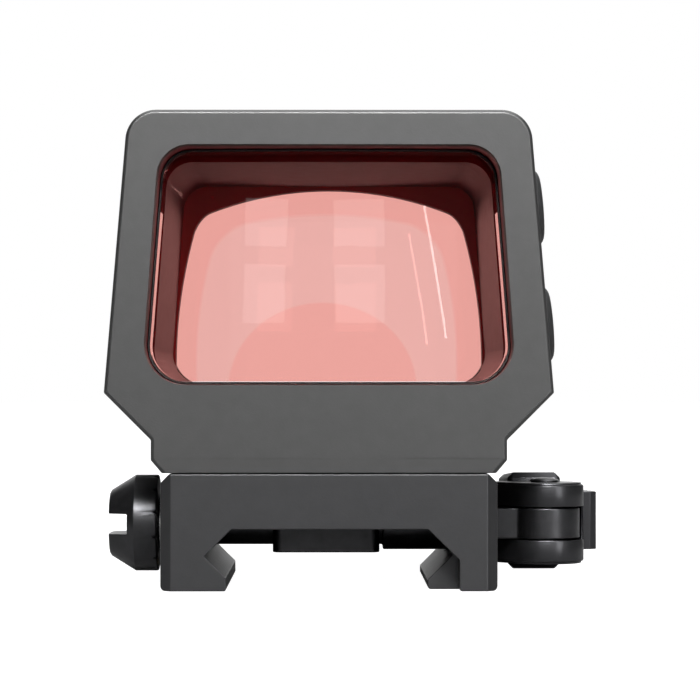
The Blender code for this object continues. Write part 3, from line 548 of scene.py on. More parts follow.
def bright_metal(name, colour, roughness):
    finish = Finish(name, colour, roughness, 1.0)
    finish.vary_colour(finish.noise(1.2, 3.0), 0.06)
    finish.vary_roughness(finish.noise(0.3, 2.0), 0.25)
    finish.grain(finish.noise(0.12, 2.0), 0.002)
    return finish.material


def circuit_laminate():
    """Green solder mask over faint copper tracks, with plated pads."""
    finish = Finish("Circuit laminate", (0.012, 0.085, 0.034), 0.4)
    tracks = finish.node("ShaderNodeTexBrick", {
        "Scale": 420.0, "Mortar Size": 0.045, "Color1": (0.010, 0.075, 0.030, 1.0),
        "Color2": (0.014, 0.095, 0.038, 1.0), "Mortar": (0.040, 0.170, 0.060, 1.0), "Vector": finish.place,
    }, offset=0.37, squash=0.6)
    pads = finish.node("ShaderNodeTexVoronoi", {"Scale": 520.0, "Vector": finish.place})
    share = finish.spread(pads.outputs["Distance"], 1.0, 0.0, 0.14, 0.16)
    plated = finish.blend(share, tracks.outputs["Color"], (0.62, 0.50, 0.28, 1.0))
    finish.link(plated, finish.shader.inputs["Base Color"])
    finish.grain(tracks.outputs["Fac"], 0.01)
    return finish.material


def see_through(name, tint, painted_reflection_tint, gloss):
    """Clear glass with a coating: it tints what is behind it, and mirrors what is in front of it.

    The third argument, where there is one, is a paler tint painted on a patch of the glass as a painted
    reflection, bounded by an arch and two bowed sides round a disc that keeps the full tint.
    """
    finish = Finish(name, tint, gloss)
    finish.tree.nodes.remove(finish.shader)
    clear = finish.node("ShaderNodeBsdfTransparent", {"Color": (*tint, 1.0)})
    mirror = finish.node("ShaderNodeBsdfGlossy", {"Roughness": gloss})
    fresnel = finish.node("ShaderNodeFresnel", {"IOR": 1.48})
    both = finish.node("ShaderNodeMixShader", {0: fresnel.outputs["Fac"], 1: clear.outputs["BSDF"],
                                               2: mirror.outputs["BSDF"]})
    finish.link(both.outputs["Shader"], finish.tree.nodes["Material Output"].inputs["Surface"])
    # Painted reflection: a paler tint on a patch of the glass, where the mask below is 1.
    if painted_reflection_tint:
        shade = finish.blend(painted_reflection_mask(finish), (*tint, 1.0), (*painted_reflection_tint, 1.0))
        finish.link(shade, clear.inputs["Color"])
    return finish.material


def painted_reflection_mask(finish):
    """1 inside the patch of painted reflection and 0 outside it, from the place on the glass across its axis.
    """
    axes = finish.node("ShaderNodeSeparateXYZ", {"Vector": finish.place})

    def work(operation, *values):
        return finish.node("ShaderNodeMath", dict(enumerate(values)), operation=operation).outputs["Value"]

    def beyond(across, centre_x, centre_z, radius):
        """Distance outside a circle whose centre and radius are in millimetres."""
        far_x = work("SUBTRACT", across, centre_x * MM)
        far_z = work("SUBTRACT", axes.outputs["Z"], centre_z * MM)
        reach = work("SQRT", work("ADD", work("MULTIPLY", far_x, far_x), work("MULTIPLY", far_z, far_z)))
        return work("SUBTRACT", reach, radius * MM)

    def past(distance):
        """How far a distance goes past the start of the corner's rounding, squared."""
        reach = work("MAXIMUM", work("ADD", distance, PAINTED_REFLECTION_CORNER_R * MM), 0.0)
        return work("MULTIPLY", reach, reach)

    # Outline of the painted reflection: an arched roof, bowed sides and rounded corners, less a disc where it
    # is left out.
    centred = work("SUBTRACT", axes.outputs["X"], PAINTED_REFLECTION_X * MM)
    roof = beyond(centred, 0.0, PAINTED_REFLECTION_ROOF_Z - STOP_ROOF_R, STOP_ROOF_R)
    sides = beyond(work("ABSOLUTE", centred), PAINTED_REFLECTION_HALF_W - PAINTED_REFLECTION_SIDE_R, STOP_WIDEST_Z, PAINTED_REFLECTION_SIDE_R)
    corner = work("SQRT", work("ADD", past(roof), past(sides)))
    patch = finish.spread(corner, 1.0, 0.0, (PAINTED_REFLECTION_CORNER_R - 0.05) * MM, (PAINTED_REFLECTION_CORNER_R + 0.05) * MM)
    narrowed = work("DIVIDE", axes.outputs["X"], UNREFLECTED_DISC_STRETCH)
    from_disc = beyond(narrowed, UNREFLECTED_DISC_X, UNREFLECTED_DISC_Z, UNREFLECTED_DISC_R)
    disc = finish.spread(from_disc, 0.0, 1.0, -0.07 * MM, 0.07 * MM)
    return work("MULTIPLY", patch, disc)


finishes = {
    "housing": anodised("Anodised housing", (0.105, 0.105, 0.105), 0.45),
    "clamp": anodised("Anodised clamp", (0.080, 0.080, 0.083), 0.40),
    "steel": machined_steel("Blackened steel", (0.080, 0.080, 0.084), 0.36, 0),
    "spring_steel": bright_metal("Spring steel", (0.52, 0.52, 0.51), 0.24),
    "brass": bright_metal("Plated brass", (0.72, 0.53, 0.26), 0.28),
    "cell": bright_metal("Plated cell", (0.62, 0.62, 0.61), 0.22),
    "rubber": moulded("Black rubber", (0.016, 0.016, 0.017), 0.62, 0.2, 0.01),
    "polymer": moulded("Glass-filled polymer", (0.026, 0.026, 0.028), 0.5, 0.12, 0.006),
    "emitter": moulded("Emitter resin", (0.42, 0.02, 0.015), 0.16, 0.5, 0.001),
    "board": circuit_laminate(),
    # The coated glass's second tint is the painted reflection on a patch of the domed glass.
    "coated_glass": see_through("Red coated glass", (0.978, 0.656, 0.621), (0.973, 0.703, 0.674), 0.02),
    "clear_glass": see_through("Clear coated glass", (0.985, 0.985, 0.985), None, 0.02),
}
# Painted light: the red-brown of the tunnel walls stands in for light tinted red by the domed glass, and the
# brighter red of the stop's step for more of that light falling on it.
tunnel_painted_red_light = anodised("Tunnel walls with painted red light", (0.150, 0.010, 0.016), 0.45)
stop_painted_red_light = anodised("Stop step with painted red light", (0.45, 0.05, 0.07), 0.45)
lever_finish = anodised("Anodised lever", (0.060, 0.060, 0.064), 0.34)
screw_finish = machined_steel("Oxide screws", (0.050, 0.050, 0.054), 0.34, 2)


# ---------------------------------------------------------------- outlines of the sight

def body_corners(inset=0.0):
    return mirrored([(FLOOR_HALF_W - inset, BODY_FLOOR_Z + inset, 0.0),
                     (LOWER_HALF_W - inset, FLOOR_CHAMFER_Z + inset * 0.6, 0.3),
                     (LOWER_HALF_W - inset, LOWER_TOP_Z + inset * 0.4, 0.3),
                     (SHOULDER_HALF_W - inset, SHOULDER_Z + inset * 0.5, 0.25),
                     (ROOF_HALF_W - inset, ROOF_Z - inset, ROOF_CORNER_R)])


def opening(side, floor=None, roof=None):
    """Outline of the front opening, drawn in by a distance at its sides, its floor and its roof."""
    floor = side if floor is None else floor
    roof = side if roof is None else roof
    slope = (OPENING_FLOOR_HALF_W - OPENING_ROOF_HALF_W) / (OPENING_ROOF_Z - OPENING_FLOOR_Z)
    return rounded(mirrored([(OPENING_FLOOR_HALF_W - side - slope * floor, OPENING_FLOOR_Z + floor,
                              OPENING_FLOOR_R - side),
                             (OPENING_ROOF_HALF_W - side + slope * roof, OPENING_ROOF_Z - roof,
                              OPENING_ROOF_R - side)]))


def stop_outline():
    """The field stop at the tunnel's rear end: bowed sides under an arched roof."""
    side = arc(STOP_HALF_W - STOP_SIDE_R, STOP_WIDEST_Z, STOP_SIDE_R, 0.0, 15.6, 20)
    roof = arc(0.0, STOP_ROOF_Z - STOP_ROOF_R, STOP_ROOF_R, 68.8, 90.0, 20)
    foot = arc(STOP_HALF_W - 1.8, STOP_FLOOR_Z + 1.8, 1.8, -90.0, -8.0, 12)
    corner = side[-1] * 0.35 + roof[0] * 0.65 + Vector((0.42, 0.22))
    shoulder = [side[-1] * (1.0 - t) ** 2 + corner * (2.0 * t * (1.0 - t)) + roof[0] * t * t
                for t in (step / 8.0 for step in range(1, 8))]
    right = foot + side + shoulder + roof
    return right + [Vector((-u, v)) for u, v in reversed(right[:-1])]


def wall_x(height):
    """Outer face of the hood's side wall at a height."""
    return ROOF_HALF_W + (ROOF_Z - height) * math.tan(WALL_TILT)


def dome_y(x, z):
    """Front face of the domed glass, whose apex is low on the centre plane."""
    return LENS_APEX_Y + (x * x + (z - LENS_APEX_Z) ** 2) / (2.0 * LENS_FRONT_R)


def dish_y(x, z):
    """Rear face of the domed glass."""
    return LENS_APEX_Y + LENS_CENTRE_T + (x * x + (z - LENS_APEX_Z) ** 2) / (2.0 * LENS_BACK_R)


def button_place(height):
    direction = Vector((math.cos(WALL_TILT), 0.0, math.sin(WALL_TILT)))
    return Vector((wall_x(height), BUTTON_Y, height)), direction


def drawer_outline(clearance):
    """Plan of the drawer: a round end about the cell, a straight neck, and a tab for its screw."""
    half = CELL_R + 0.9 + clearance
    front, rear = CELL_Y - half, CELL_Y + half
    tab = DRAWER_SCREW_Y + 2.4 + clearance
    return ([Vector((SHOULDER_HALF_W + 3.0, front)), Vector((SHOULDER_HALF_W + 3.0, tab)),
             Vector((13.6 - clearance, tab)), Vector((13.6 - clearance, rear))]
            + arc(0.0, CELL_Y, half, 90.0, 270.0, 48))


# ---------------------------------------------------------------- housing and glasses

def make_housing():
    shell = prism(rounded(body_corners()), "Y", FRONT_Y, BODY_REAR_Y)
    bevel_plane(shell, 1, FRONT_Y, RIM_CHAMFER, 1, BODY_FLOOR_Z + 0.1)
    housing = solid("hood_shell", shell)
    far = 60.0
    carve(housing, block((-far, BEZEL_Y, DECK_Z), (far, far, far)))
    for height in BUTTON_Z.values():
        centre, direction = button_place(height)
        carve(housing, rod(centre, direction, -BUTTON_WELL_DEPTH, 3.0, BUTTON_R + 0.2))
    pocket = prism(drawer_outline(0.2), "Z", CELL_Z - DRAWER_HALF_H - 0.25, CELL_Z + DRAWER_HALF_H + 0.35)
    carve(housing, pocket)
    drill(housing, (13.5, DRAWER_SCREW_Y, CELL_Z), X_AXIS, -4.5, 1.0, 0.95)
    carve_emitter_bay(housing)
    for centre, direction, seat, radius, bore_end in (
            ((0.0, WINDAGE_Y, WINDAGE_Z), -X_AXIS, 14.2, WINDAGE_R, 9.0),
            ((0.0, ELEVATION_Y, 0.0), Z_AXIS, DECK_Z - 1.0, ELEVATION_R, 8.0)):
        carve(housing, stepped_bore(centre, direction, (bore_end, seat, 1.15), (seat, 30.0, radius + 0.2)))
    soften(housing, 0.09, 2)
    carve(housing, prism(opening(*TUNNEL_INSETS), "Y", FRONT_Y - 5.0, STOP_Y))
    carve(housing, prism(stop_outline(), "Y", STOP_Y - 1.0, HOOD_REAR_Y))
    carve(housing, prism(opening(*LENS_SEAT_INSETS), "Y", FRONT_Y - 5.0, LENS_SEAT_Y))
    carve(housing, tapered(opening(-0.05), FRONT_Y - 0.1, opening(*LENS_SEAT_INSETS), FRONT_Y + 0.45))
    carve(housing, prism(opening(REAR_POCKET_INSET), "Y", REAR_POCKET_Y, HOOD_REAR_Y))
    for x, y in MOUNT_SCREWS:
        drill(housing, (x, y, BODY_FLOOR_Z), Z_AXIS, -1.0, 1.3 if y < 0.0 else 4.0, 1.15)
    for x, z in BEZEL_SCREWS:
        drill(housing, (x, BEZEL_Y, z), Y_AXIS, -4.2, 1.0, 0.75)
    finish_piece(housing, "sight", "housing", "housing", 0.0)
    paint_tunnel_red_light(housing)


def paint_tunnel_red_light(housing):
    """Paint red light on the walls between the glasses, red-brown, and brighter on the step of the stop."""
    housing.data.materials.append(tunnel_painted_red_light)
    housing.data.materials.append(stop_painted_red_light)
    for face in housing.data.polygons:
        x, y, z = face.center / MM
        between = FRONT_Y + 1.0 < y < REAR_POCKET_Y - 0.1 and OPENING_FLOOR_Z - 0.1 < z < OPENING_ROOF_Z + 0.2
        if between and abs(x) < OPENING_FLOOR_HALF_W + 0.1:
            # Material 1 is the walls' painted red light, material 2 the brighter painted light on the stop's
            # step.
            face.material_index = 2 if face.normal.y < -0.8 and abs(y - STOP_Y) < 0.1 else 1


def carve_emitter_bay(housing):
    floor = BODY_FLOOR_Z - 1.0
    carve(housing, block((-BAY_HALF_W, BAY_FRONT_Y, floor), (BAY_HALF_W, BAY_REAR_Y, BAY_ROOF_Z)))
    carve(housing, block((-BAY_HALF_W, BAY_FRONT_Y, floor), (BAY_HALF_W, BAY_FRONT_Y + 10.5, 11.2)))
    carve(housing, block((-4.0, BAY_FRONT_Y + 0.6, 10.0), (4.0, REAR_POCKET_Y - 0.6, 15.0)))
    carve(housing, block((-2.2, -1.0, 10.75), (2.2, BAY_FRONT_Y + 1.1, 13.0)))
    carve(housing, block((-BAY_HALF_W - 1.2, BAY_FRONT_Y - 1.2, floor),
                         (BAY_HALF_W + 1.2, BAY_REAR_Y + COVER_LIP + 0.1, BODY_FLOOR_Z + 0.85)))
    for x, y in COVER_SCREWS:
        drill(housing, (x, y, BODY_FLOOR_Z), Z_AXIS, 0.0, 3.6, 0.6)


def lens_sheet(shape, rim, depth_at, shares):
    """Rings of a curved glass face from rim to middle, closed with a fan; returns the rim ring."""
    middle = Vector((0.0, OPENING_MIDDLE_Z))
    rows = []
    for share in shares:
        ring = [middle + (point - middle) * share for point in rim]
        rows.append([shape.verts.new((x, depth_at(x, z), z)) for x, z in ring])
    bridge_rows(shape, rows)
    hub = shape.verts.new((middle[0], depth_at(*middle), middle[1]))
    for index in range(len(rim)):
        shape.faces.new([hub, rows[-1][index - 1], rows[-1][index]])
    return rows[0]


def make_glasses():
    shares = [1.0 - step / 12.0 for step in range(12)]
    shape = bmesh.new()
    rim = subdivided(opening(*LENS_INSETS))
    front = lens_sheet(shape, rim, dome_y, shares)
    back = lens_sheet(shape, rim, dish_y, shares)
    bridge_rows(shape, [front, back])
    finish_piece(solid("domed_glass", shape), "sight", "coated_glass", "front_lens", 0.0)

    outer = subdivided(opening(*(inset + 0.02 for inset in LENS_SEAT_INSETS)))
    inner = [nearest_on(outer_point, *LENS_INSETS) for outer_point in outer]
    section = []
    for lean, depth in ((0.0, 0.3), (0.35, 0.12), (0.7, 0.16), (1.0, 0.34)):
        ring = [a.lerp(b, lean) for a, b in zip(outer, inner)]
        section.append([(x, dome_y(x, z) + depth, z) for x, z in ring])
    for ring in (inner, outer):
        section.append([(x, dome_y(x, z) + 1.1, z) for x, z in ring])
    finish_piece(solid("glass_seal", loop_ring(section)), "sight", "rubber", "front_gasket", 0.0)

    pane = prism(opening(REAR_POCKET_INSET + 0.6), "Y", REAR_POCKET_Y + 0.3, BEZEL_Y - 0.3)
    finish_piece(solid("rear_pane", pane), "sight", "clear_glass", "rear_window", 0.15, segments=3)


def nearest_on(point, side, floor, roof):
    """Where a point of the lens seat's outline falls once it is drawn in to the glass's edge."""
    middle = Vector((0.0, OPENING_MIDDLE_Z))
    half_w = OPENING_FLOOR_HALF_W
    gap_side = side - LENS_SEAT_INSETS[0] - 0.05
    gap_ends = (floor if point[1] < middle[1] else roof) - 0.2
    scale_u = 1.0 - gap_side / half_w
    scale_v = 1.0 - max(gap_ends, 0.2) / (OPENING_ROOF_Z - middle[1])
    return Vector((point[0] * scale_u, middle[1] + (point[1] - middle[1]) * scale_v))


def make_bezel():
    plate = prism(rounded(body_corners()), "Y", BEZEL_Y + 0.08, HOOD_REAR_Y)
    bevel_plane(plate, 1, HOOD_REAR_Y, RIM_CHAMFER)
    bezel = solid("bezel_plate", plate)
    carve(bezel, block((-60.0, 0.0, -20.0), (60.0, 60.0, DECK_Z + 0.08)))
    soften(bezel, 0.08, 2)
    carve(bezel, prism(opening(*BEZEL_OPENING_INSETS), "Y", 0.0, 30.0))
    lip = tapered(opening(*BEZEL_OPENING_INSETS), HOOD_REAR_Y - 0.35, opening(-0.2), HOOD_REAR_Y + 0.1)
    carve(bezel, lip)
    for x, z in BEZEL_SCREWS:
        carve(bezel, stepped_bore((x, HOOD_REAR_Y, z), Y_AXIS, (-5.0, -1.1, 0.75), (-1.1, 1.0, 1.3)))
    finish_piece(bezel, "sight", "housing", "rear_bezel", 0.0)


# ---------------------------------------------------------------- controls

def make_buttons():
    """Rubber keys with a rolled rim, a shallow dish and a raised plus or minus."""
    for name, height in BUTTON_Z.items():
        centre, direction = button_place(height)
        rim = [(BUTTON_PROUD - 1.05 + 1.05 * math.sin(turn), BUTTON_R - 1.05 + 1.05 * math.cos(turn))
               for turn in (math.radians(10.0 * step) for step in range(1, 10))]
        dish = [(BUTTON_PROUD - 0.22 * math.sin(share * math.pi / 2.0), (BUTTON_R - 1.3) * (1.0 - share))
                for share in (step / 8.0 for step in range(9))]
        key = solid(name + "_key", turned([(-1.3, 0.0), (-1.3, BUTTON_R)] + rim + dish, centre, direction))
        for across, along in ((1.45, 0.24), (0.24, 1.45)):
            if name == "button_minus" and along > across:
                continue
            bar = prism(box_outline(-along, along, -across, across, 0.2), "Z",
                        BUTTON_PROUD - 0.6, BUTTON_PROUD - 0.02)
            carve(key, placed(bar, facing(centre, direction)), "UNION")
        body = name.replace("button_", "") + "_key"
        finish_piece(key, body, "rubber", name, 0.05)


def make_dials():
    """Adjusters with a coin slot, a fluted rim and a bevelled edge."""
    seats = {"windage": (Vector((-14.95, WINDAGE_Y, WINDAGE_Z)), -X_AXIS, WINDAGE_R, 8.0),
             "elevation": (Vector((0.0, ELEVATION_Y, DECK_Z - 0.75)), Z_AXIS, ELEVATION_R, 2.55)}
    height = 1.6
    flutes = 30
    for name, (centre, direction, radius, stem) in seats.items():
        profile = [(-stem, 0.0), (-stem, 0.95), (0.15, 0.95), (0.15, 1.6), (0.5, 1.6), (0.5, radius),
                   (height - 0.3, radius), (height, radius - 0.3), (height, radius - 0.75),
                   (height - 0.12, radius - 0.85), (height - 0.12, 0.0)]
        knob = solid(name + "_adjuster", turned(profile, centre, direction))
        place = facing(centre, direction)
        slot = prism(box_outline(-radius - 1.0, radius + 1.0, -0.45, 0.45), "Z", height - 0.85, height + 1.0)
        carve(knob, placed(slot, place))
        cutters = bmesh.new()
        for index in range(flutes):
            turn = Matrix.Rotation(math.tau * (index + 0.5) / flutes, 4, "Z")
            flute = turned([(0.3, 0.0), (0.3, 0.17), (height + 0.4, 0.17), (height + 0.4, 0.0)],
                           (radius + 0.06, 0.0, 0.0), Z_AXIS, 10)
            join_into(cutters, placed(flute, place @ turn))
        carve(knob, cutters)
        finish_piece(knob, name + "_knob", "housing", name + "_dial", 0.05, finish=lever_finish)


def join_into(shape, extra):
    """Move one mesh into another."""
    twins = {vert: shape.verts.new(vert.co) for vert in extra.verts}
    for face in extra.faces:
        shape.faces.new([twins[vert] for vert in face.verts])
    extra.free()


def socket_screw(name, node, body, centre, direction, head_r, head_h, shank_r, shank_l):
    """Cap screw with a chamfered head and a hexagon socket; its head's free face is at centre."""
    lip = head_r * 0.16
    rim = [(-lip + lip * math.sin(turn), head_r - lip + lip * math.cos(turn))
           for turn in (math.radians(15.0 * step) for step in range(7))]
    screw = solid(name, turned([(-head_h - shank_l, 0.0), (-head_h - shank_l, shank_r * 0.8),
                                (-head_h - shank_l + shank_r * 0.5, shank_r), (-head_h, shank_r),
                                (-head_h, head_r)] + rim + [(0.0, 0.0)], centre, direction, SMALL_STEPS))
    carve(screw, stepped_socket(centre, direction, head_r * 0.52, head_h * 0.62))
    finish_piece(screw, body, "steel", node, 0.03, finish=screw_finish)


def stepped_socket(centre, direction, corner_r, depth):
    """Hexagon socket with a small countersink at its mouth."""
    shape = bmesh.new()
    levels = ((-depth, corner_r), (-0.12, corner_r), (0.02, corner_r + 0.14), (0.6, corner_r + 0.14))
    rows = [[shape.verts.new((u, v, level)) for u, v in arc(0.0, 0.0, radius, 0.0, 300.0, 5)]
            for level, radius in levels]
    bridge_rows(shape, rows)
    shape.faces.new(rows[0])
    shape.faces.new(rows[-1])
    return placed(shape, facing(centre, direction))


def make_screws():
    rows = [("bezel", index, (x, HOOD_REAR_Y - 0.15, z), Y_AXIS, (1.2, 0.85, 0.65, 4.8))
            for index, (x, z) in enumerate(BEZEL_SCREWS, 1)]
    rows += [("cover", index, (x, y, BODY_FLOOR_Z + 0.05), -Z_AXIS, (0.65, 0.5, 0.45, 2.4))
             for index, (x, y) in enumerate(COVER_SCREWS, 1)]
    rows += [("mount", index, (x, y, 0.15), -Z_AXIS, (1.9, 1.6, 1.0, 3.7 if y < 0.0 else 4.3))
             for index, (x, y) in enumerate(MOUNT_SCREWS, 1)]
    for kind, index, centre, direction, sizes in rows:
        socket_screw("%s_fastener_%d" % (kind, index), "%s_screw_%d" % (kind, index), "sight", centre,
                     direction, *sizes)
    socket_screw("drawer_fastener_screw", "drawer_screw", "drawer_fastener",
                 (15.5, DRAWER_SCREW_Y, CELL_Z), X_AXIS, 1.3, 0.8, 0.8, 4.8)


def make_drawer():
    """Battery drawer: its edge follows the housing's flank, with a row of finger ribs on the outside."""
    drawer = solid("cell_drawer", prism(drawer_outline(0.0), "Z",
                                        CELL_Z - DRAWER_HALF_H, CELL_Z + DRAWER_HALF_H))
    carve(drawer, prism(rounded(body_corners(0.08)), "Y", -40.0, 40.0), "INTERSECT")
    carve(drawer, rod((0.0, CELL_Y, CELL_Z), Z_AXIS, -5.0, 5.0, CELL_R + 0.12))
    groove = CELL_R + 0.5
    far = 5.0
    for front, rear, low, high in ((-20.0, groove + 0.9, -far, -1.25), (-20.0, groove + 0.9, 1.25, far),
                                   (-20.0, -groove, -far, far), (groove, groove + 0.9, -far, far)):
        carve(drawer, block((12.0, CELL_Y + front, CELL_Z + low), (13.2, CELL_Y + rear, CELL_Z + high)))
    carve(drawer, stepped_bore((0.0, DRAWER_SCREW_Y, CELL_Z), X_AXIS, (10.0, 14.6, 0.95), (14.6, 30.0, 1.45)))
    for index in range(9):
        y = CELL_Y - 4.0 + index
        carve(drawer, rod((LOWER_HALF_W + 0.42, y, CELL_Z), (0.72, 0.0, 1.0), -4.0, 4.0, 0.26, 16))
    finish_piece(drawer, "drawer", "polymer", "battery_drawer", 0.07)

    rim = CELL_R - 0.35
    half = (drawer_high.z - drawer_low.z) / 2.0 - 0.05
    cell = turned([(-half, 0.0), (-half, CELL_R - 0.9), (-half + 0.12, CELL_R - 0.75), (-half + 0.12, rim),
                   (-half + 0.35, CELL_R), (half - 0.5, CELL_R), (half - 0.15, CELL_R - 0.12), (half, rim),
                   (half, 0.0)], (0.0, CELL_Y, CELL_Z), Z_AXIS)
    finish_piece(solid("coin_cell", cell), "drawer", "cell", "battery", 0.04)


# ---------------------------------------------------------------- clamp

def make_mount():
    section = [(SEAT_LEFT_X, 0.0, 0.0), (SEAT_RIGHT_X, 0.0, 0.0), (10.88, -2.54, 0.0),
               (10.88, MOUNT_FLOOR_Z, 0.25),
               (MOUNT_HALF_W, MOUNT_FLOOR_Z, 0.4), (MOUNT_HALF_W, MOUNT_ROOF_Z - MOUNT_ROOF_CHAMFER, 0.0),
               (MOUNT_HALF_W - MOUNT_ROOF_CHAMFER, MOUNT_ROOF_Z, 0.0),
               (MOUNT_ROOF_CHAMFER - MOUNT_HALF_W, MOUNT_ROOF_Z, 0.0),
               (-MOUNT_HALF_W, MOUNT_ROOF_Z - MOUNT_ROOF_CHAMFER, 0.0), (-MOUNT_HALF_W, MOUNT_FLOOR_Z, 0.4),
               (-8.58, MOUNT_FLOOR_Z, 0.2), (-8.6, -4.03, 0.2), (-10.4, -2.25, 0.0)]
    base = solid("clamp_base", prism(rounded(section, 6), "Y", FRONT_Y, MOUNT_REAR_Y))
    for side in (-1.0, 1.0):
        for level, inward in ((FRONT_Y, 1.0), (MOUNT_REAR_Y, -1.0)):
            corner = [(side * (MOUNT_HALF_W - MOUNT_FRONT_CHAMFER), level - inward),
                      (side * (MOUNT_HALF_W - MOUNT_FRONT_CHAMFER), level),
                      (side * MOUNT_HALF_W, level + inward * MOUNT_FRONT_CHAMFER),
                      (side * (MOUNT_HALF_W + 1.0), level + inward * MOUNT_FRONT_CHAMFER),
                      (side * (MOUNT_HALF_W + 1.0), level - inward)]
            carve(base, prism([Vector(point) for point in corner], "Z", -10.0, 10.0))
    carve(base, block((-10.9, FRONT_Y + JAW_LENGTH, -10.0), (0.0, 30.0, -2.25)))
    carve(base, block((8.2, -23.6, -10.0), (20.0, -2.4, 3.95)))
    carve(base, stepped_bore((0.0, BOLT_Y, 0.0), X_AXIS, (-20.0, 0.0, BOLT_R + 0.2),
                             (0.0, 20.0, BOLT_SHOULDER_R + 0.2)))
    carve(base, prism(box_outline(-5.0, 4.5, BOLT_Y - 2.7, BOLT_Y + 2.7, 0.85), "Z", -5.0, 3.4))
    drill(base, (-11.0, BOLT_Y, -3.3), X_AXIS, -5.0, 0.0, 0.6)
    for y in JAW_SPRINGS_Y:
        drill(base, (0.0, y, JAW_SPRING_Z), X_AXIS, 5.2, 9.0, 1.15)
    for x, y in MOUNT_SCREWS:
        carve(base, stepped_bore((x, y, 0.0), Z_AXIS, (-5.0, 2.0, 2.1), (2.0, 10.0, 1.3)))
    finish_piece(base, "sight", "clamp", "mount_base", 0.1)

    lug = solid("recoil_key", prism(box_outline(-4.9, 4.4, BOLT_Y - 2.6, BOLT_Y + 2.6, 0.8), "Z", -2.5, 3.3))
    carve(lug, rod((0.0, BOLT_Y, 0.0), X_AXIS, -20.0, 20.0, BOLT_R + 0.15))
    finish_piece(lug, "sight", "steel", "recoil_lug", 0.12, segments=3)


def make_jaw():
    outline = rounded([(JAW_OUTER_X, 3.75, 0.4), (8.7, 3.75, 0.0), (8.7, -0.45, 0.0), (10.45, -2.2, 0.0),
                       (8.3, -4.35, 0.2), (8.3, MOUNT_FLOOR_Z, 0.3), (JAW_OUTER_X, MOUNT_FLOOR_Z, 0.4)], 6)
    jaw = solid("sliding_jaw", prism(outline, "Y", jaw_low.y, jaw_high.y))
    carve(jaw, rod((0.0, BOLT_Y, 0.0), X_AXIS, 0.0, 20.0, BOLT_SHOULDER_R + 0.2))
    for y in JAW_SPRINGS_Y:
        drill(jaw, (0.0, y, JAW_SPRING_Z), X_AXIS, 5.0, 12.2, 1.15)
    finish_piece(jaw, "jaw", "clamp", "movable_jaw", 0.12, segments=3)


def make_bolt():
    centre = (0.0, BOLT_Y, 0.0)
    shank = [(bolt_low.x, 0.0), (bolt_low.x, BOLT_R - 0.3), (bolt_low.x + 0.3, BOLT_R), (4.7, BOLT_R),
             (4.7, BOLT_SHOULDER_R), (14.0, BOLT_SHOULDER_R), (14.0, 0.0)]
    bolt = solid("clamp_bolt", turned(shank, centre, X_AXIS))
    neck_deg = math.degrees(math.asin(EYE_SHANK_HALF_W / EYE_R))
    eye = ([Vector((13.0, BOLT_Y + EYE_SHANK_HALF_W)), Vector((13.0, BOLT_Y - EYE_SHANK_HALF_W))]
           + arc(PIN_X, BOLT_Y, EYE_R, neck_deg - 180.0, 180.0 - neck_deg, 60))
    carve(bolt, prism(eye, "Z", -EYE_HALF_T, EYE_HALF_T), "UNION")
    for low, high in ((-6.0, -EYE_HALF_T), (EYE_HALF_T, 6.0)):
        carve(bolt, block((13.6, BOLT_Y - 4.0, low), (25.0, BOLT_Y + 4.0, high)))
    drill(bolt, (PIN_X, BOLT_Y, 0.0), Z_AXIS, -6.0, 6.0, PIN_R + 0.1)
    finish_piece(bolt, "bolt", "steel", "cross_bolt", 0.16, segments=3)

    barrel = [(NUT_FACE_X, 0.0), (NUT_FACE_X, NUT_R - 0.1), (NUT_FACE_X - 0.1, NUT_R), (-16.9, NUT_R),
              (-19.0, 2.9), (-19.15, 2.65), (-19.23, 1.6), (nut_low.x, 0.0)]
    nut = solid("clamp_nut", turned(barrel, centre, X_AXIS))
    carve(nut, rod(centre, X_AXIS, -17.0, -10.0, BOLT_R + 0.15))
    carve(nut, block((-25.0, BOLT_Y - 10.0, -NUT_SLOT_HALF_W),
                     (NUT_SLOT_FLOOR_X, BOLT_Y + 10.0, NUT_SLOT_HALF_W)))
    notches = bmesh.new()
    for index in range(NUT_NOTCHES):
        turn = math.tau * (index + 0.5) / NUT_NOTCHES
        notch = prism([(0.2, 0.0), (-0.2, 0.0), (0.0, -0.42)], "Y", NUT_R - 1.2, NUT_R + 1.0)
        place = Matrix.Translation((NUT_FACE_X + 0.02, BOLT_Y, 0.0)) @ Matrix.Rotation(turn, 4, "X")
        place = place @ Matrix.Rotation(math.radians(90.0), 4, "Y")
        join_into(notches, placed(notch, place))
    carve(nut, notches)
    finish_piece(nut, "nut", "steel", "tension_nut", 0.07)


# ---------------------------------------------------------------- lever

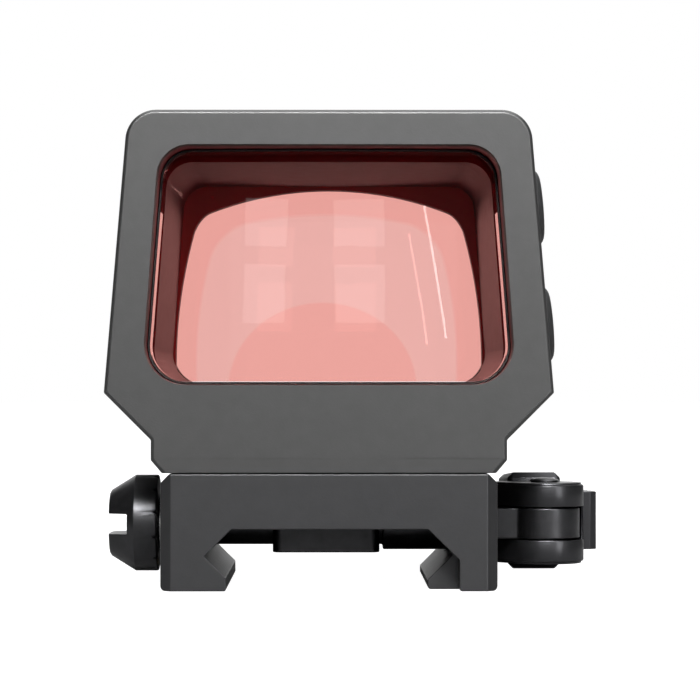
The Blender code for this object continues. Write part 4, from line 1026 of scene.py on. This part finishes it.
def make_lever():
    """Knuckle with a cam nose and two ears, and the arm behind it; a flat joins the knuckle to the nose."""
    reach = Vector((CAM_NOSE_X - PIN_X, CAM_NOSE_Y - BOLT_Y))
    lean = math.acos((KNUCKLE_R - CAM_NOSE_R) / reach.length)
    tangent_deg = math.degrees(math.atan2(reach.y, reach.x) + lean)
    plan = (arc(CAM_NOSE_X, CAM_NOSE_Y, CAM_NOSE_R, 120.0, tangent_deg, 18)
            + arc(PIN_X, BOLT_Y, KNUCKLE_R, tangent_deg, 270.0, 26)
            + arc(PIN_X + KNUCKLE_OVAL, BOLT_Y, KNUCKLE_R, 270.0, 360.0 + 62.0, 42)
            + [Vector((ARM_OUTER_X, BOLT_Y + 3.6)), Vector((ARM_OUTER_X, BOLT_Y + 5.0)),
               Vector((ARM_INNER_X, BOLT_Y + 5.0)), Vector((ARM_INNER_X, CAM_NOSE_Y + 1.7))])
    knuckle = prism(plan, "Z", -EAR_OUTER_Z, EAR_OUTER_Z)
    for level in (EAR_OUTER_Z, -EAR_OUTER_Z):
        bevel_plane(knuckle, 2, level, 0.22, 3)
    lever = solid("quick_lever", knuckle)
    bend_y = ARM_REAR_Y - ARM_BEND_L
    arm_plan = rounded([(ARM_INNER_X, ARM_FRONT_Y, 0.5), (ARM_OUTER_X, ARM_FRONT_Y, 0.5),
                        (ARM_OUTER_X, bend_y, 3.0), (ARM_OUTER_X + ARM_BEND, ARM_REAR_Y, 0.9),
                        (ARM_INNER_X + ARM_BEND + 0.8, ARM_REAR_Y, 0.9), (ARM_INNER_X, bend_y, 3.0)], 10)
    arm = prism(arm_plan, "Z", -ARM_HALF_H, ARM_HALF_H)
    for level in (ARM_HALF_H, -ARM_HALF_H):
        bevel_plane(arm, 2, level, 0.6)
    for vertex in arm.verts:
        vertex.co.z *= 1.0 - ARM_TAPER * (vertex.co.y - ARM_FRONT_Y) / (ARM_REAR_Y - ARM_FRONT_Y)
    carve(lever, arm, "UNION")
    carve(lever, rod((PIN_X, BOLT_Y, 0.0), Z_AXIS, -EAR_INNER_Z, EAR_INNER_Z, EYE_R + 0.2))
    carve(lever, block((10.0, BOLT_Y - 6.0, -EAR_INNER_Z), (PIN_X, BOLT_Y + 2.7, EAR_INNER_Z)))
    carve(lever, block((PIN_X - 2.6, BOLT_Y - 6.0, -EAR_INNER_Z), (25.0, BOLT_Y + 0.4, EAR_INNER_Z)))
    drill(lever, (PIN_X, BOLT_Y, 0.0), Z_AXIS, -8.0, 8.0, PIN_R + 0.08)
    carve(lever, block((ARM_OUTER_X - 1.0, BOLT_Y + 4.4, -2.0), (30.0, BOLT_Y + 15.0, 2.0)))
    for index in range(7):
        y = ARM_REAR_Y - 2.2 - 0.75 * index
        x = ARM_OUTER_X + ARM_BEND * max(0.0, 1.0 - (ARM_REAR_Y - y) / ARM_BEND_L)
        carve(lever, rod((x + 0.08, y, 0.0), Z_AXIS, -3.0, 3.0, 0.2, 12))
    finish_piece(lever, "lever", "clamp", "cam_lever", 0.1, finish=lever_finish)

    head = [(EAR_OUTER_Z + 0.06 + 0.36 * math.sin(turn), 1.36 * math.cos(turn))
            for turn in (math.radians(9.0 * step) for step in range(11))]
    pin = turned([(-EAR_OUTER_Z + 0.1, 0.0), (-EAR_OUTER_Z + 0.1, PIN_R), (EAR_OUTER_Z + 0.06, PIN_R)] + head,
                 (PIN_X, BOLT_Y, 0.0), Z_AXIS)
    finish_piece(solid("lever_pivot", pin), "lever", "steel", "lever_pin", 0.05)


def make_lever_lock():
    """Ribbed thumb catch in the arm's outer groove."""
    front, rear = BOLT_Y + 3.5, BOLT_Y + 10.2
    hump = [Vector((ARM_OUTER_X + 0.1, front + 0.6)), Vector((ARM_OUTER_X + 0.1, rear)), Vector((22.0, rear))]
    ribs = 6
    for index in range(ribs):
        share = index / (ribs - 1)
        centre_y = rear - 1.0 - share * (rear - front - 1.8)
        centre_x = 23.4 - 1.3 * (1.0 - share) ** 2
        hump += arc(centre_x, centre_y, 0.45, 70.0, -70.0, 10)
    hump += [Vector((23.3, front + 0.1)), Vector((21.4, front))]
    lock = solid("thumb_catch", prism(hump, "Z", -2.57, 2.57))
    carve(lock, block((ARM_OUTER_X - 0.85, front + 1.4, -1.8), (ARM_OUTER_X + 1.0, rear, 1.8)), "UNION")
    finish_piece(lock, "lock", "clamp", "lever_lock", 0.08, finish=lever_finish)


# ---------------------------------------------------------------- inner parts from the frame

def finish_frame_nodes():
    """Parts whose shape in the frame is final: rounder wire for the springs, softer edges for the rest."""
    slots = {part["node"]: part["material_slot"] for part in frame["record"]["subparts"]}
    for name, item in frame["nodes"].items():
        if item.hide_render:
            continue
        item.data.materials.clear()
        item.data.materials.append(finishes[slots[name]])
        weld = item.modifiers.new("Welded", "WELD")
        weld.merge_threshold = 1e-6
        if "spring" in name:
            wire = item.modifiers.new("Round wire", "SUBSURF")
            wire.render_levels = wire.levels = 2
            item.data.shade_smooth()
        else:
            bevel_step(item, 0.06 * MM, 2).harden_normals = True


# ---------------------------------------------------------------- stage, light and camera

def add_light(name, place, target, width, height, power):
    """Soft panel at place, turned to target; places and sizes are metres."""
    data = bpy.data.lights.new(name, "AREA")
    data.shape = "RECTANGLE"
    data.size = width
    data.size_y = height
    data.energy = power
    lamp = bpy.data.objects.new(name, data)
    lamp.location = place
    lamp.rotation_euler = (Vector(target) - Vector(place)).to_track_quat("-Z", "Y").to_euler()
    lamp.visible_camera = False
    bpy.context.scene.collection.objects.link(lamp)
    return lamp


def panel_towards(azimuth_deg, elevation_deg, distance, origin):
    """Point at a distance from origin; azimuth 0 is straight in front of the sight and grows towards +X."""
    azimuth, elevation = math.radians(azimuth_deg), math.radians(elevation_deg)
    return Vector(origin) + distance * Vector((math.sin(azimuth) * math.cos(elevation),
                                               -math.cos(azimuth) * math.cos(elevation), math.sin(elevation)))


def make_lights():
    glass = Vector((0.0, FRONT_Y, OPENING_MIDDLE_Z)) * MM
    distance = 0.55
    for azimuths in ((-12.2, -6.4), (1.0, 8.0)):
        for elevations in ((7.0, 15.2), (17.8, 24.4)):
            middle = panel_towards(sum(azimuths) / 2.0, sum(elevations) / 2.0, distance, glass)
            width = distance * math.radians(azimuths[1] - azimuths[0])
            height = distance * math.radians(elevations[1] - elevations[0])
            add_light("Window pane", middle, glass, width, height, PANE_POWER * width * height)
    strip = add_light("Strip", panel_towards(STRIP_AZIMUTH, STRIP_ELEVATION, distance, glass), glass,
                      0.003, STRIP_LENGTH, 0.018)
    strip.rotation_euler.rotate_axis("Z", math.radians(STRIP_LEAN))
    key = add_light("Front key", panel_towards(0.0, 48.0, 0.45, glass), (0.0, 0.0, 0.10), 0.6, 0.2, 0.8)
    key.data.spread = math.radians(28.0)
    add_light("Side strip", panel_towards(37.0, 8.0, 0.6, glass), (0.0, 0.0, 0.005), 0.12, 0.4, 1.2)
    add_light("Front fill", panel_towards(2.0, 8.0, 0.9, glass), glass, 0.5, 0.42, 0.2)
    add_light("Top softbox", (0.05, 0.02, 0.75), (0.0, 0.0, 0.0), 0.9, 0.8, 4.5)
    add_light("Back softbox", (0.0, 0.5, 0.7), (0.0, 0.0, 0.02), 0.9, 0.5, 1.5)
    add_light("Back fill", (0.0, 0.75, 0.2), (0.0, 0.0, 0.02), 0.9, 0.4, 1.2)


def make_stage():
    """Pale floor under the sight and a white surround."""
    scene = bpy.context.scene
    floor_shape = bmesh.new()
    bmesh.ops.create_grid(floor_shape, x_segments=1, y_segments=1, size=3.0)
    bmesh.ops.translate(floor_shape, vec=(0.0, 0.0, cad_box[0].z - 0.00002), verts=floor_shape.verts)
    floor = solid("Floor", floor_shape)
    pale = bpy.data.materials.new("Pale floor")
    pale.use_nodes = True
    shader = pale.node_tree.nodes["Principled BSDF"]
    shader.inputs["Base Color"].default_value = (0.25, 0.25, 0.25, 1.0)
    shader.inputs["Roughness"].default_value = 0.8
    shader.inputs["Specular IOR Level"].default_value = 0.0
    shader.inputs["Emission Color"].default_value = (1.0, 1.0, 1.0, 1.0)
    seen = pale.node_tree.nodes.new("ShaderNodeLightPath")
    pale.node_tree.links.new(seen.outputs["Is Camera Ray"], shader.inputs["Emission Strength"])
    floor.data.materials.append(pale)

    world = bpy.data.worlds.new("Surround")
    scene.world = world
    world.use_nodes = True
    nodes, links = world.node_tree.nodes, world.node_tree.links
    surround = nodes["Background"]
    surround.inputs["Color"].default_value = (1.0, 1.0, 1.0, 1.0)
    strength = nodes.new("ShaderNodeMapRange")
    strength.inputs["To Min"].default_value = 0.08
    strength.inputs["To Max"].default_value = 1.0
    path = nodes.new("ShaderNodeLightPath")
    links.new(path.outputs["Is Camera Ray"], strength.inputs["Value"])
    links.new(strength.outputs["Result"], surround.inputs["Strength"])
    scene.view_settings.view_transform = "Standard"


def make_camera():
    """Nearly straight on to the front glass, level with the opening's lower edge."""
    data = bpy.data.cameras.new("Camera")
    data.lens = 148.7
    data.sensor_width = 36.0
    data.clip_start = 0.01
    camera = bpy.data.objects.new("Camera", data)
    camera.location = (0.0, -0.267, 0.01175)
    yaw, pitch = math.radians(0.416), math.radians(0.763)
    look = Vector((math.sin(yaw) * math.cos(pitch), math.cos(yaw) * math.cos(pitch), math.sin(pitch)))
    camera.rotation_euler = look.to_track_quat("-Z", "Y").to_euler()
    bpy.context.scene.collection.objects.link(camera)
    bpy.context.scene.camera = camera


make_camera()
make_lights()
make_stage()
make_housing()
make_bezel()
make_glasses()
make_buttons()
make_dials()
make_drawer()
make_screws()
make_mount()
make_jaw()
make_bolt()
make_lever()
make_lever_lock()
finish_frame_nodes()
